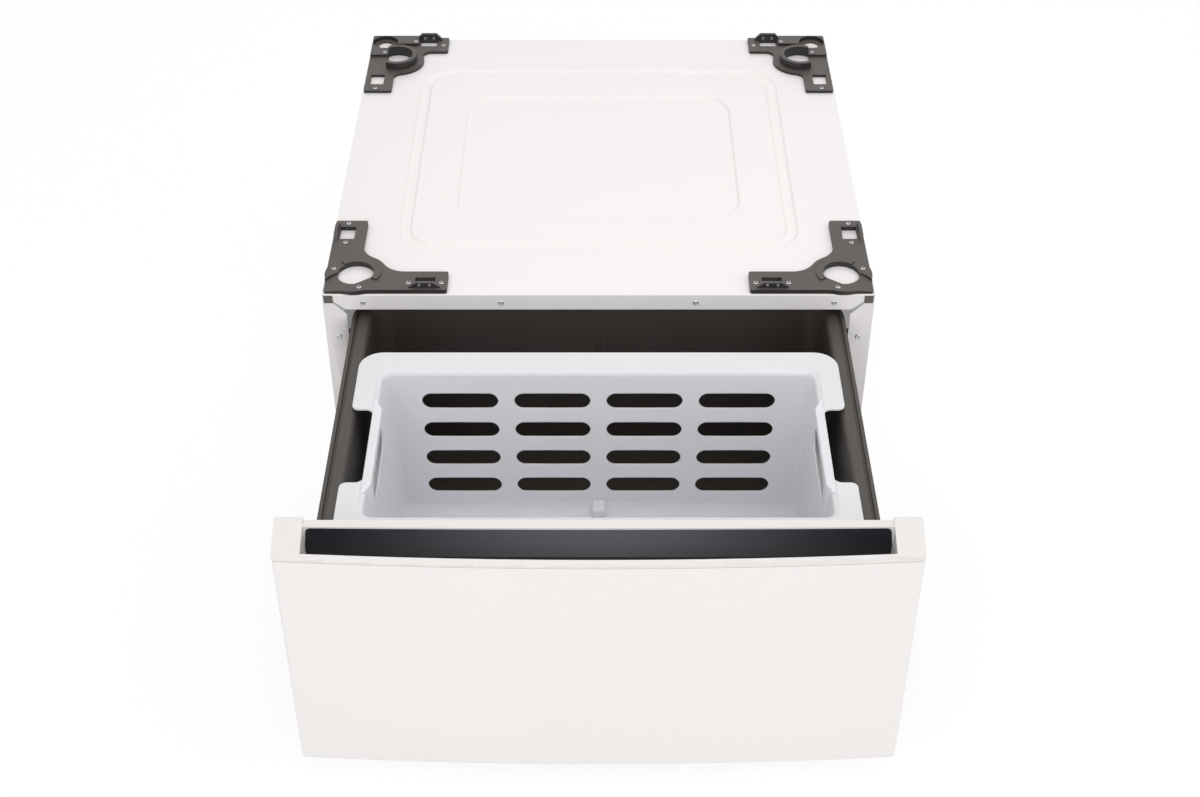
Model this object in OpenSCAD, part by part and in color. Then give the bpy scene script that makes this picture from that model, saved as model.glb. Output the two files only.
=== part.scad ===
// Laundry pedestal with a storage drawer, standing open.
// A sheet steel cabinet carries a washer on four corner plates. One wide drawer runs on
// two telescopic ball-bearing slides and holds a plastic tub with a lift-out basket.
// +X is to the right, +Y to the back, +Z up. The floor is at Z = 0. The origin is the
// middle of the open pedestal's footprint.

/* [Cabinet] */
// Width of the cabinet and of the drawer front
cab_w = 686; // [660:1:740]
// Depth of the cabinet, from its front plane to its rear face
cab_d = 660; // [640:1:720]
// Height of the cabinet's top surface above the floor
cab_h = 346; // [340:1:400]
// Height of the cabinet's lower edge above the floor
base_z = 18; // [16:0.5:26]
// Thickness of the cabinet's sheet steel
sheet_t = 1; // [0.8:0.1:1.4]
// Width of the front flange on each side panel
side_flange_w = 28.7; // [26:0.1:34]
// Height of the top panel's front flange
top_flange_h = 22.6; // [20:0.1:28]
// Width of the side panels' bottom flanges
bottom_flange_w = 24; // [16:1:25]
// Width of the side panels' rear flanges
rear_flange_w = 24; // [20:1:40]
// Height of the top panel's side tabs
top_tab_h = 15; // [8:1:20]
// Gap of the mitre between the front flanges
mitre_gap = 0.3; // [0.1:0.1:1]
// Width of the plug in each front corner
plug_w = 10.5; // [8:0.5:12]
// Distance from the cabinet's side to the plug
plug_inset = 2.2; // [1.5:0.1:4]
// Distance from the cabinet's top to the plug
plug_drop = 1.7; // [1.5:0.1:4]
// How far the plug stands proud of the flange
plug_proud = 0.6; // [0.3:0.1:1]

/* [Panel embossing] */
// Depth of the embossing in the top panel and in the rear panel
emboss_depth = 3; // [1.5:0.5:5]
// Half width of the embossed ring, to its outer edge
ring_half_x = 260; // [240:1:285]
// Half depth of the embossed ring, to its outer edge
ring_half_y = 235; // [220:1:245]
// Width of the embossed ring
ring_w = 17; // [12:1:24]
// Corner radius of the embossed ring
ring_r = 52; // [30:1:80]
// Half width of the embossed pan in the middle of the top
pan_half_x = 188; // [150:1:210]
// Half depth of the embossed pan
pan_half_y = 162; // [130:1:185]
// Corner radius of the embossed pan
pan_r = 45; // [20:1:70]
// Half width of the rear panel's embossed field
rear_pan_half_x = 240; // [180:1:260]
// Height of the rear panel's embossed field
rear_pan_h = 190; // [120:1:210]
// Corner radius of the rear panel's embossed field
rear_pan_r = 30; // [15:1:50]

/* [Rails and posts] */
// Leg width of the corner posts
post_leg = 40; // [32:1:40]
// Width of the corner posts' front and rear legs
post_face = 26.4; // [22:0.2:26.4]
// Sheet thickness of the corner posts
post_t = 1.5; // [1.2:0.1:2.5]
// Sheet thickness of the rails and the slide supports
rail_t = 1.2; // [1:0.1:1.6]
// Depth of the rail behind the top flange
top_rail_depth = 22; // [14:1:26]
// Depth of the base rails
base_rail_depth = 62; // [56:1:80]
// Height of the base rails
base_rail_h = 30; // [28:1:36]
// Distance from the slides' axis to the supports' lower edge
support_below = 54.7; // [50:0.1:60]
// Height of the slide supports
support_h = 96; // [80:1:110]
// Width of the slide supports' stiffening lips
support_lip = 8; // [5:0.5:12]

/* [Levelling feet] */
// Distance from the cabinet's side to a foot's axis
foot_inset_x = 42; // [38:1:50]
// Distance from the cabinet's front or rear to a foot's axis
foot_inset_y = 40; // [34:1:44]
// Radius of the threaded stud
stud_r = 5; // [4:0.5:6]
// Length of the stud above its hex flange
stud_len = 39; // [34:1:44]
// Radial running clearance of the stud in its bush
thread_clear = 0.05; // [0.03:0.01:0.08]
// Radius of the foot pad
pad_r = 20; // [16:1:26]
// Height of the foot pad
pad_h = 7; // [6:0.5:8]
// Height of the lock nut
lock_nut_h = 6; // [5:0.5:7]
// Radius of the lock nut, to its corners
lock_nut_r = 9.5; // [9:0.5:12]
// Height of the threaded bush
bush_h = 14; // [10:1:18]
// Outer radius of the threaded bush
bush_r = 9; // [8:0.5:12]
// Reach of the foot bracket past the foot's axis
bracket_reach = 34; // [24:1:60]
// Thickness of the foot bracket
bracket_t = 3; // [2:0.5:4]
// Gap between the retracted foot and the lock nut
foot_stop_gap = 0.3; // [0.2:0.1:0.6]

/* [Slides] */
// Length of the outer and inner slide members
slide_len = 450; // [430:5:470]
// Length of the middle slide member
slide_mid_len = 440; // [424:2:450]
// Height of a slide
slide_h = 45.7; // [42:0.1:50]
// Thickness of a slide, from the tub to the support
slide_t = 12.7; // [12.5:0.1:14]
// Sheet thickness of the slide members
gauge = 1.2; // [1:0.1:1.3]
// Distance from the cabinet's front plane to the outer members
slide_front = 4; // [3:0.5:8]
// Distance of the slides' middle below the tub's rim
slide_drop = 64; // [58:1:70]
// Depth of the inner slide members' channel
inner_depth = 6.9; // [6.2:0.1:7]
// Radius of the outer bearing balls
outer_ball_r = 1.7; // [1.5:0.05:1.8]
// Radius of the inner bearing balls
inner_ball_r = 1.5; // [1.3:0.05:1.55]
// Running gap between a ball and its track
ball_gap = 0.3; // [0.2:0.05:0.35]
// Radial clearance of a ball in its cage
cage_clear = 0.1; // [0.06:0.02:0.2]
// Sheet thickness of the ball cages
cage_t = 0.6; // [0.5:0.05:0.7]
// Length of a ball cage
cage_len = 180; // [140:5:190]
// Distance from a cage's ends to its balls
ball_end = 10; // [6:1:20]
// Balls in each row of a cage
balls_per_row = 6; // [4:1:8]
// Distance from a slide's ends to its rivets
rivet_inset = 36; // [30:1:50]
// Rivets along each outer member
rivet_count = 3; // [2:1:4]
// Radius of the slide rivets
rivet_r = 2.4; // [2:0.1:3]

/* [Drawer front] */
// How far the drawer stands open
drawer_open = 410; // [300:5:410]
// Gap between the closed drawer front and the cabinet
front_gap = 3; // [2.5:0.1:5]
// Thickness of the drawer front at its sides
front_side_t = 44; // [40:1:60]
// How far the middle of the front bows out past its sides
front_bow = 11; // [6:0.5:18]
// Radius of the front's upright edges
front_edge_r = 5; // [3:0.5:8]
// How far the drawer front reaches below the cabinet
front_drop = 2.7; // [1:0.1:4]
// Thickness of the drawer front's skin
skin_t = 1; // [0.8:0.1:1.4]
// Distance of the parting line below the cabinet's top
parting_drop = 12.5; // [8:0.5:16]
// Parting gap between the skin and the handle trim
parting_gap = 0.4; // [0.2:0.1:0.8]
// Height of the end caps above the cabinet's top
cap_rise = 10; // [6:0.5:14]
// Height of the trim's rear rim above the cabinet's top
rim_rise = 5.5; // [2:0.5:6]
// Width of each end cap
cap_w = 30.5; // [26:0.5:40]
// Slope of the end caps' tops
cap_slope = 20.6; // [14:0.2:22]
// Radius of the rounded lip
lip_r = 7; // [5:0.5:8]
// Thickness of the lip in front of the finger recess
lip_t = 5; // [4:0.5:7]
// Wall of the handle trim
trim_t = 2.5; // [2:0.1:3]
// Depth of the finger recess below the cabinet's top
recess_drop = 48; // [40:1:60]
// Depth of the trim's rear rim, from back to strip
rim_depth = 10.4; // [9:0.2:14]
// Bow of the handle strip
strip_bow = 2.4; // [1:0.1:3]
// Thickness of the handle strip
strip_t = 2; // [1.5:0.1:2.4]
// Distance from the recess's end to the strip
strip_end = 3; // [2:0.5:8]
// Distance of the strip's upper edge below the rear rim
strip_drop = 2.2; // [1.5:0.1:4]
// Height of the strip above the recess's floor
strip_lift = 3; // [1:0.5:8]
// Corner radius of the strip
strip_r = 5; // [3:0.5:8]
// Thickness of the drawer front's inner panel
inner_t = 1.2; // [1:0.1:2]
// Radius of the rubber bumpers
bumper_r = 6; // [4:0.5:8]
// Gap between a bumper and the cabinet when the drawer is closed
bumper_gap = 0.4; // [0.2:0.1:0.8]

/* [Tub] */
// Gap between the tub's rim and the opening's sides
rim_side_gap = 7; // [5:0.1:9]
// Gap between the tub's rim and the top flange
rim_top_gap = 9.4; // [6:0.1:12]
// Width of the rim along the tub's sides
rim_w = 23.8; // [22:0.1:27]
// Length of the tub's hollow, front to back
tub_len = 420; // [390:1:424]
// Gap between the base rails and the ribs under the tub
tub_base_gap = 22; // [10:1:30]
// Wall of the tub
tub_wall = 2.6; // [2:0.1:3]
// Width of the rim along the tub's front
rim_front_w = 17; // [16:0.5:20]
// Width of the rim along the tub's back
rim_back_w = 12; // [11:0.5:16]
// Width of the rim's outer lip
rim_lip_w = 4.7; // [3:0.1:6]
// Width of the rim's groove
rim_groove_w = 3.8; // [2:0.1:5]
// Depth of the rim's groove
rim_groove_d = 3.6; // [2:0.1:4]
// Step from the rim's lip down to its ledge
ledge_step = 1; // [0.5:0.1:2]
// Height of the rim's skirt
skirt_h = 11; // [9:0.5:14]
// Corner radius of the tub's hollow
tub_r = 25; // [15:1:40]
// Distance from the tub's side to the outer screws of the drawer front
tub_screw_inset = 43.5; // [30:0.5:60]
// Height of the drawer front's lower screws above the tub's floor
tub_screw_low = 30; // [20:1:60]
// Distance of the drawer front's upper screws below the tub's ledge
tub_screw_high = 40; // [30:1:60]
// Radius of the bosses round those screws
tub_boss_r = 7; // [5:0.5:9]
// Half length and half height of a slide pad
slide_pad_half = 20; // [14:1:22]
// Distance from the tub's end to its first and last slide pads
slide_pad_inset = 24; // [20:1:40]
// Thickness of the pads under the inner slide members
slide_pad_t = 2; // [1:0.1:3]
// Thickness of the tub's ribs
rib_t = 3; // [2:0.5:4]
// Distance between the two short ribs on the tub's back wall
back_rib_pitch = 15; // [10:0.5:30]
// Height of the short ribs on the tub's back wall
back_rib_h = 21; // [14:0.5:30]
// Depth of the short ribs on the tub's back wall
back_rib_d = 1.4; // [0.8:0.1:2.5]
// Height of the ribs under the tub's floor
floor_rib_h = 5; // [3:0.5:8]

/* [Basket] */
// How far the basket's rim reaches over the ledge
basket_seat = 5; // [4:0.1:7]
// Gap between the basket's rim and the ledge
basket_gap = 0.3; // [0.2:0.1:0.5]
// Distance from the tub's front edge to the basket's rim
basket_front = 10; // [9:0.5:12]
// Length of the basket's rim, front to back
basket_len = 325; // [300:1:340]
// Gap between the tub's floor and the basket
basket_floor_gap = 17; // [6:0.5:30]
// Wall of the basket
basket_wall = 2.5; // [2:0.1:3]
// Width of the basket's flat rim at the sides
basket_rim_side = 23.5; // [20:0.5:26]
// Width of the basket's flat rim at the front and back
basket_rim_end = 27; // [22:0.5:32]
// Width of the shoulder inside the side rims
shoulder_side = 7; // [5:0.5:10]
// Width of the shoulder inside the end rims
shoulder_end = 11; // [7:0.5:14]
// Step from the rim down to the shoulder
shoulder_step = 1.5; // [0.8:0.1:2.4]
// Thickness of the basket's rim
basket_rim_t = 2.8; // [2:0.1:3.4]
// Corner radius of the basket's rim
basket_rim_r = 28; // [20:1:36]
// Corner radius of the basket's hollow
basket_r = 16; // [10:1:24]
// How far each side wall leans in from top to bottom
basket_lean = 9; // [5:0.5:12]
// Width of the bars between the slots
slot_bar = 19.5; // [14:0.5:30]
// Height of a slot in the end walls
slot_h = 24; // [16:0.5:30]
// Distance from a side wall to the middle of the nearest slots
slot_side = 90; // [76:1:100]
// Height of the lowest slots' middle above the basket's floor
slot_low = 39; // [30:1:60]
// Slots along each end wall
slot_columns = 4; // [3:1:4]
// Slots up each end wall
slot_rows = 4; // [3:1:4]
// Distance of the upper row's middle below the basket's rim
slot_top = 45; // [40:0.5:48]
// Distance from the basket's front to the middle of the hand notches
notch_from_front = 153; // [140:1:170]
// Length of the hand notch in each side rim
notch_len = 128; // [100:1:150]
// How far the hand notch's wall stands inside the side wall
notch_in = 4.7; // [3:0.1:7]
// Width of the rim left in the hand notch
notch_rim = 10.2; // [8:0.1:12]
// Corner radius of the hand notch
notch_r = 7; // [4:0.5:10]
// Length of the hand slot
hand_slot_len = 104; // [80:1:110]
// Height of the hand slot
hand_slot_h = 32; // [24:1:36]
// Distance of the hand slot's upper edge below the rim
hand_slot_top = 12; // [8:0.5:16]

/* [Corner plates] */
// Thickness of the front corner plates
plate_t = 6; // [5:0.5:8]
// Thickness of the rear corner plates' side arms
rear_plate_t = 4.5; // [4:0.5:6]
// Distance from the cabinet's edges to the plates
plate_inset = 2; // [1:0.1:3]
// Width of the plates' arms along the sides
side_arm_w = 41; // [38:0.5:44]
// Width of the front plates' arms along the front
front_arm_w = 39.5; // [37:0.5:44]
// Width of the rear plates' arms along the rear
rear_arm_w = 42.5; // [40:0.5:48]
// Reach of the front plates along the front
front_reach_x = 155; // [140:1:170]
// Reach of the front plates along the side
front_reach_y = 156; // [146:1:170]
// Reach of the rear plates along the rear
rear_reach_x = 116.5; // [108:0.5:125]
// Reach of the rear plates along the side
rear_reach_y = 162; // [156:1:170]
// Distance from the side to the front foot socket's axis
front_socket_x = 39; // [37:0.5:44]
// Distance from the front to the front foot socket's axis
front_socket_y = 38; // [36:0.5:42]
// Radius of the front foot sockets
front_socket_r = 23; // [20:0.5:26]
// Distance of the front socket's straight side from its axis
front_chord = 19.2; // [15:0.1:20]
// Width of the ridge round the front socket
ridge_w = 8.5; // [4:0.5:9]
// Radius of the hollow beside the front socket
dish_r = 29; // [26:0.5:30]
// Depth of the hollow beside the front socket, at the cabinet's side
dish_depth = 3; // [1.5:0.5:4]
// Distance from the side at which the hollow runs out
dish_end = 40; // [36:1:42]
// Height of the ridge round the front socket
ridge_h = 1.6; // [0.8:0.1:3]
// Distance from the side to the rear collar's axis
rear_socket_x = 44; // [42:0.5:48]
// Distance from the rear to the rear collar's axis
rear_socket_y = 72; // [70:0.5:78]
// Radius of the rear collar's hole
rear_socket_r = 23; // [20:0.5:24]
// Distance of the rear collar's flat side from its axis
rear_chord = 15; // [12:0.5:18]
// Wall of the rear collar
collar_wall = 6; // [4:0.5:7]
// Height of the rear collar above its plate
collar_h = 10.5; // [7:0.5:12]
// Radius of the plates' round middles
plate_round_r = 39; // [36:0.5:42]
// Distance from the side and from the rear to the access hole
access_inset = 21.5; // [20:0.5:24]
// Radius of the access hole
access_r = 10.5; // [8:0.1:12]
// Radius of the recess round the access hole
access_recess_r = 18.5; // [16:0.5:19]
// How far the rear plates' corners stand above their side arms
rear_step = 3.5; // [1:0.5:4]
// Reach of the rear plates' high corners along the side
rear_step_y = 61; // [56:1:66]
// Reach of the rear plates' high corners along the rear
rear_step_x = 72; // [70:0.5:73]
// Radius of the plates' outer corners
plate_corner_r = 3; // [1.5:0.5:5]
// Radius of the front plates' hollow corners
front_hollow_r = 31; // [12:1:34]
// Radius of the rear plates' hollow corners
rear_hollow_r = 12; // [6:0.5:16]
// Width of the window in each plate's side arm
window_w = 20; // [14:0.5:22]
// Distance from a plate's edge to its window
window_inset = 7; // [5:0.5:10]
// Distance from the front to the front plates' window
front_window_y = 114; // [108:1:120]
// Distance from the rear to the rear plates' window
rear_window_y = 115.5; // [110:0.5:120]
// Length of the window in each plate's side arm
window_l = 28; // [20:0.5:30]
// Distance from a plate's edge to its raised tab
tab_inset = 4.5; // [3:0.5:6]
// Thickness of the raised tabs
tab_t = 4.5; // [3:0.5:5]
// Height of the raised tabs above the plate
tab_h = 7; // [5:0.5:7]
// Distance from a front plate's end to its tab's middle
front_tab_inset = 28; // [26:0.5:34]
// Distance from a rear plate's end to its tab's middle
rear_tab_inset = 29.5; // [27:0.5:34]
// Height of the tab holes' middles above the plates
tab_hole_rise = 3; // [2.5:0.1:4]
// Width of a raised tab at its foot
tab_foot_w = 42; // [34:1:46]
// Width of a raised tab at its top
tab_top_w = 22; // [18:1:26]
// Distance between a tab's two holes
tab_hole_pitch = 12.8; // [11:0.2:14]
// Radius of a tab's holes
tab_hole_r = 2.2; // [1.5:0.1:2.4]
// Width of the slot beside a tab
tab_slot_w = 25; // [20:0.5:30]
// Depth of the slot beside a tab
tab_slot_d = 17.5; // [12:0.5:20]

/* [Fasteners] */
// Head radius of the plate screws
plate_screw_head_r = 3; // [2.5:0.1:3.5]
// Head height of the plate screws
plate_screw_head_h = 1; // [0.6:0.1:1.6]
// Length of the plate screws under their heads
plate_screw_len = 11; // [9:0.5:14]
// Shank radius of the plate screws
plate_screw_r = 1.6; // [1.2:0.1:2]
// Head radius of the cabinet screws
cab_screw_head_r = 3.6; // [3:0.1:4.2]
// Shank radius of the cabinet screws
cab_screw_r = 1.9; // [1.5:0.1:2.2]
// Head height of the cabinet screws
cab_screw_head_h = 1.6; // [1:0.1:1.8]
// Clearance of every screw hole, on the radius
screw_clear = 0.15; // [0.1:0.05:0.3]
// Distance from the side to the outer flange screws
flange_screw_outer = 50; // [46:1:60]
// Distance from the side to the inner flange screws
flange_screw_inner = 222; // [190:1:250]
// Distance of the flange screws below the cabinet's top
flange_screw_drop = 12; // [11:0.5:14]
// Distance of the side flange screws from the side
side_screw_inset = 16; // [13:0.5:20]

/* [Hidden] */
$fn = 64;
big_fn = 1440;
strip_facets = 6;
eps = 0.5;
half_w = cab_w / 2;
opening_half = half_w - side_flange_w;
opening_top = cab_h - top_flange_h;
inside_half = half_w - sheet_t;
inside_top = cab_h - sheet_t;
front_bottom = base_z - front_drop;
parting_z = cab_h - parting_drop;
cap_top = cab_h + cap_rise;
rim_top = cab_h + rim_rise;
recess_floor = cab_h - recess_drop;
recess_half = half_w - cap_w;

// The tub's rim follows the opening; the drawer's pieces follow the tub.
rim_half = opening_half - rim_side_gap;
rim_z = opening_top - rim_top_gap;
tub_in_half = rim_half - rim_w;
tub_out_half = tub_in_half + tub_wall;
tub_front = -front_gap;
tub_in_front = tub_front + rim_front_w;
tub_in_rear = tub_in_front + tub_len;
tub_out_front = tub_in_front - tub_wall;
tub_out_rear = tub_in_rear + tub_wall;
rim_rear = tub_in_rear + rim_back_w;
tub_bottom = base_z + base_rail_h + tub_base_gap + floor_rib_h;
ledge_z = rim_z - ledge_step;

// The slides lie between the tub and the slide supports.
slide_x = tub_out_half + slide_pad_t;
support_x = slide_x + slide_t;
slide_z = rim_z - slide_drop;
support_bottom = slide_z - support_below;
support_top = support_bottom + support_h;
outer_inside = slide_h / 2 - gauge;
outer_ball_z = outer_inside - ball_gap - outer_ball_r;
mid_half_h = outer_ball_z - outer_ball_r - ball_gap;
inner_ball_z = mid_half_h - gauge - ball_gap - inner_ball_r;
inner_half_h = inner_ball_z - inner_ball_r - ball_gap;
web_gap = (slide_t - inner_depth - 2 * gauge - 2 * cage_t) / 4;
outer_cage_u = slide_t - gauge - web_gap - cage_t;
mid_web_u = outer_cage_u - web_gap - gauge;
inner_cage_u = mid_web_u - web_gap - cage_t;
mid_edge_u = 1.5 * gauge;
outer_edge_u = mid_edge_u + gauge + 0.4;
outer_ball_u = outer_cage_u - cage_clear - outer_ball_r - 0.6;
inner_ball_u = mid_edge_u + gauge + inner_ball_r + 0.3;
mid_front = slide_front + 2;
outer_cage_share = 0.25;
mid_share = 0.5;
inner_cage_share = 0.75;
outer_cage_front = slide_front + 16 + outer_cage_share * drawer_open;
inner_cage_front = inner_cage_share * drawer_open - 170;
rivet_ys = [for (i = [0 : rivet_count - 1])
    slide_front + rivet_inset + i * (slide_len - 2 * rivet_inset) / (rivet_count - 1)];
drawer_screw_ys = [tub_out_front + slide_pad_inset, (tub_out_front + tub_out_rear) / 2,
    tub_out_rear - slide_pad_inset];

// The drawer front is a slice of a tall cylinder of a very large radius.
bow_r = (half_w * half_w + front_bow * front_bow) / (2 * front_bow);
front_face_y = -front_gap - front_side_t - front_bow;
bow_axis_y = front_face_y + bow_r;
strip_bow_r = (recess_half * recess_half + strip_bow * strip_bow) / (2 * strip_bow);
strip_axis_y = -front_gap - rim_depth - strip_bow + strip_bow_r;
strip_half = recess_half - strip_end;
strip_top = rim_top - strip_drop;
strip_bottom = recess_floor + strip_lift;

basket_half = tub_in_half + basket_seat;
basket_rim_bottom = ledge_z + basket_gap;
basket_top = basket_rim_bottom + basket_rim_t;
basket_y0 = tub_front + basket_front;
basket_y1 = basket_y0 + basket_len;
notch_y = basket_y0 + notch_from_front;
basket_floor = tub_bottom + tub_wall + basket_floor_gap + basket_wall;
basket_in_half = basket_half - basket_rim_side - shoulder_side;
basket_in_y0 = basket_y0 + basket_rim_end + shoulder_end;
basket_in_y1 = basket_y1 - basket_rim_end - shoulder_end;
slot_pitch_x = 2 * (basket_in_half - slot_side) / (slot_columns - 1);
slot_pitch_z = (basket_top - slot_top - basket_floor - slot_low) / (slot_rows - 1);
slot_len = slot_pitch_x - slot_bar;
notch_wall_x = basket_in_half - notch_in;
notch_rim_x = notch_wall_x + notch_rim;

// The open pedestal's footprint is centred on the origin.
frame_shift = -(cab_d + cab_screw_head_h + front_face_y - drawer_open) / 2;

foot_top_gap = base_z + sheet_t - lock_nut_h - foot_stop_gap;
plate_top = cab_h + plate_t;
rear_low = cab_h + rear_plate_t;
rear_high = rear_low + rear_step;
front_tab_x = front_reach_x - front_tab_inset;
rear_tab_x = rear_reach_x - rear_tab_inset;
front_screws = [[18.3, 149.5], [18.5, 106], [10.5, 48], [46, 8], [front_tab_x - 20.5, 17],
    [front_tab_x + 20.5, 17]];
rear_screws = [[rear_step_x - 4.5, 20, rear_high], [23.5, rear_step_y - 8, rear_high],
    [rear_tab_x + 22, 26, rear_low], [18.5, rear_reach_y - 7, rear_low]];
support_screw_zs = [support_top - 10, support_bottom + 10];

white_paint = [0.95, 0.94, 0.93];
white_plastic = [0.94, 0.93, 0.92];
dark_plastic = [0.38, 0.36, 0.34];
tub_plastic = [0.30, 0.27, 0.25];
basket_plastic = [0.88, 0.89, 0.92];
zinc = [0.68, 0.69, 0.70];
steel = [0.62, 0.63, 0.65];
black_paint = [0.09, 0.09, 0.09];
rubber = [0.12, 0.12, 0.12];
gloss_black = [0.14, 0.15, 0.17];

// ---- placing

// Children are in cabinet coordinates: Y = 0 is the cabinet's front plane.
module at_cabinet() {
    translate([0, frame_shift, 0]) children();
}

// Children are drawn with the drawer closed, and move out by their share of its travel.
module at_drawer(share = 1) {
    translate([0, frame_shift - share * drawer_open, 0]) children();
}

// Children are drawn on the right, and mirrored for the left side.
module on_side(side) {
    if (side > 0) children();
    else mirror([1, 0, 0]) children();
}

module both_sides() {
    for (side = [-1, 1]) on_side(side) children();
}

// Children are in corner coordinates: X and Y run inwards from the cabinet's edges.
module at_corner(side, end) {
    translate([side * half_w, end > 0 ? cab_d : 0, 0])
        if (side > 0 && end > 0) mirror([1, 0, 0]) mirror([0, 1, 0]) children();
        else if (side > 0) mirror([1, 0, 0]) children();
        else if (end > 0) mirror([0, 1, 0]) children();
        else children();
}

module at_corners() {
    for (side = [-1, 1]) for (end = [-1, 1]) at_corner(side, end) children();
}

// Extrudes an outline drawn in (X, Z) from y0 to y1.
module along_y(y0, y1) {
    translate([0, y1, 0]) rotate([90, 0, 0]) linear_extrude(y1 - y0) children();
}

// Extrudes an outline drawn in (Y, Z) from x0 to x1.
module along_x(x0, x1) {
    translate([x0, 0, 0]) rotate([90, 0, 90]) linear_extrude(x1 - x0) children();
}

// Extrudes an outline drawn in (X, Y) from z0 to z1.
module along_z(z0, z1) {
    translate([0, 0, z0]) linear_extrude(z1 - z0) children();
}

// A box between two corners.
module block(low, high) {
    translate(low) cube(high - low);
}

// A rectangle with its own radius at each end in Y.
module tray(half, y0, y1, r0, r1) {
    translate([-half, y0 + r0]) square([2 * half, y1 - r1 - y0 - r0]);
    translate([-half + r0, y0]) square([2 * half - 2 * r0, r0]);
    translate([-half + r1, y1 - r1]) square([2 * half - 2 * r1, r1]);
    for (side = [-1, 1]) {
        translate([side * (half - r0), y0 + r0]) circle(r0);
        translate([side * (half - r1), y1 - r1]) circle(r1);
    }
}

module round_rect(half, y0, y1, r) {
    tray(half, y0, y1, r, r);
}

// A long hole with round ends, centred, along the first axis.
module stadium(len, h) {
    square([len - h, h], center = true);
    for (end = [-1, 1]) translate([end * (len - h) / 2, 0]) circle(h / 2);
}

// A screw along +Z: its head's seat is at Z = 0 and its shank runs down.
module screw(head_r, head_h, shank_r, len) {
    difference() {
        union() {
            cylinder(h = head_h, r1 = head_r, r2 = 0.8 * head_r, $fn = 32);
            translate([0, 0, -len]) cylinder(h = len + eps, r = shank_r, $fn = 32);
        }
        for (turn = [0, 90])
            rotate(turn) translate([-head_r / 2, -head_r / 9, head_h / 2]) cube([head_r, head_r / 4.5, head_h]);
    }
}

// A tool that drills a screw's hole with its clearance.
module drill(shank_r, len) {
    translate([0, 0, -len]) cylinder(h = 2 * len, r = shank_r + screw_clear, $fn = 32);
}

// ---- cabinet screws

// The flange screws' places across the cabinet's front.
flange_screw_xs = [for (side = [-1, 1]) for (inset = [flange_screw_outer, flange_screw_inner])
    side * (half_w - inset)];

// Puts children at the screws in the top panel's front flange, pointing forwards.
module at_flange_screws() {
    for (x = flange_screw_xs)
        translate([x, 0, cab_h - flange_screw_drop]) rotate([90, 0, 0]) children();
}

// Puts children at the screws of the slide supports and posts.
module at_post_screws(side) {
    for (z = support_screw_zs) {
        translate([side * (half_w - side_screw_inset), 0, z]) rotate([90, 0, 0]) children();
        translate([side * (half_w - side_screw_inset), cab_d, z]) rotate([-90, 0, 0]) children();
    }
}

// Puts children at the screws along the rear panel's lower edge.
module at_rear_base_screws() {
    for (x = [-half_w / 2, 0, half_w / 2])
        translate([x, cab_d, base_z + base_rail_h / 2]) rotate([-90, 0, 0]) children();
}

// Puts children on one plate's screw seats, in corner coordinates.
module at_plate_screws(end) {
    if (end > 0) for (p = rear_screws) translate(p) children();
    else for (p = front_screws) translate([p[0], p[1], plate_top]) children();
}

// The corner plates' screw holes in the sheets below.
module plate_screw_holes() {
    for (side = [-1, 1]) for (end = [-1, 1])
        at_corner(side, end) at_plate_screws(end) drill(plate_screw_r, plate_screw_len);
}

// ---- cabinet

// The notch for a corner plug, in (X, Z), on the right.
module plug_notch(grow) {
    translate([half_w - plug_inset - plug_w - grow, cab_h - plug_drop - plug_w - grow])
        square(plug_w + 2 * grow);
}

// The front flange of the top panel, with mitred ends.
module top_flange_outline() {
    polygon([[-half_w, cab_h], [-opening_half, opening_top], [opening_half, opening_top], [half_w, cab_h]]);
}

module embossed_areas(grow) {
    translate([0, cab_d / 2]) {
        difference() {
            round_rect(ring_half_x + grow, -ring_half_y - grow, ring_half_y + grow, ring_r + grow);
            round_rect(ring_half_x - ring_w - grow, ring_w + grow - ring_half_y, ring_half_y - ring_w - grow,
                ring_r - ring_w - grow);
        }
        round_rect(pan_half_x + grow, -pan_half_y - grow, pan_half_y + grow, pan_r + grow);
    }
}

module top_panel() {
    color(white_paint) at_cabinet() difference() {
        union() {
            block([-half_w, 0, inside_top], [half_w, cab_d, cab_h]);
            along_z(inside_top - emboss_depth, cab_h) embossed_areas(sheet_t);
            along_y(0, sheet_t) top_flange_outline();
            both_sides()
                block([inside_half - sheet_t, post_leg + 8, inside_top - top_tab_h],
                    [inside_half, cab_d - post_leg - 8, cab_h]);
        }
        along_z(cab_h - emboss_depth, cab_h + eps) embossed_areas(0);
        both_sides() along_y(-eps, sheet_t) plug_notch(0);
        at_flange_screws() drill(cab_screw_r, 8);
        plate_screw_holes();
    }
}

module side_panel() {
    difference() {
        union() {
            block([inside_half, 0, base_z], [half_w, cab_d, inside_top]);
            along_y(0, sheet_t) polygon([
                [opening_half, base_z], [half_w, base_z], [half_w, inside_top],
                [half_w - 2 * mitre_gap, inside_top], [opening_half, opening_top - 2 * mitre_gap]]);
            block([inside_half - rear_flange_w, cab_d - 2 * sheet_t, base_z],
                [inside_half + eps, cab_d - sheet_t, inside_top]);
            block([inside_half - bottom_flange_w, sheet_t / 2, base_z],
                [inside_half + eps, cab_d - 1.5 * sheet_t, base_z + sheet_t]);
        }
        along_y(-eps, sheet_t) intersection() {
            plug_notch(0);
            translate([0, base_z]) square([inside_half, cab_h]);
        }
        block([inside_half, cab_d - sheet_t, base_z - eps], [half_w - sheet_t / 2, cab_d + eps, cab_h]);
        at_post_screws(1) drill(cab_screw_r, 8);
    }
}

module side_panel_left() {
    color(white_paint) at_cabinet() on_side(-1) side_panel();
}

module side_panel_right() {
    color(white_paint) at_cabinet() on_side(1) side_panel();
}

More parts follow.
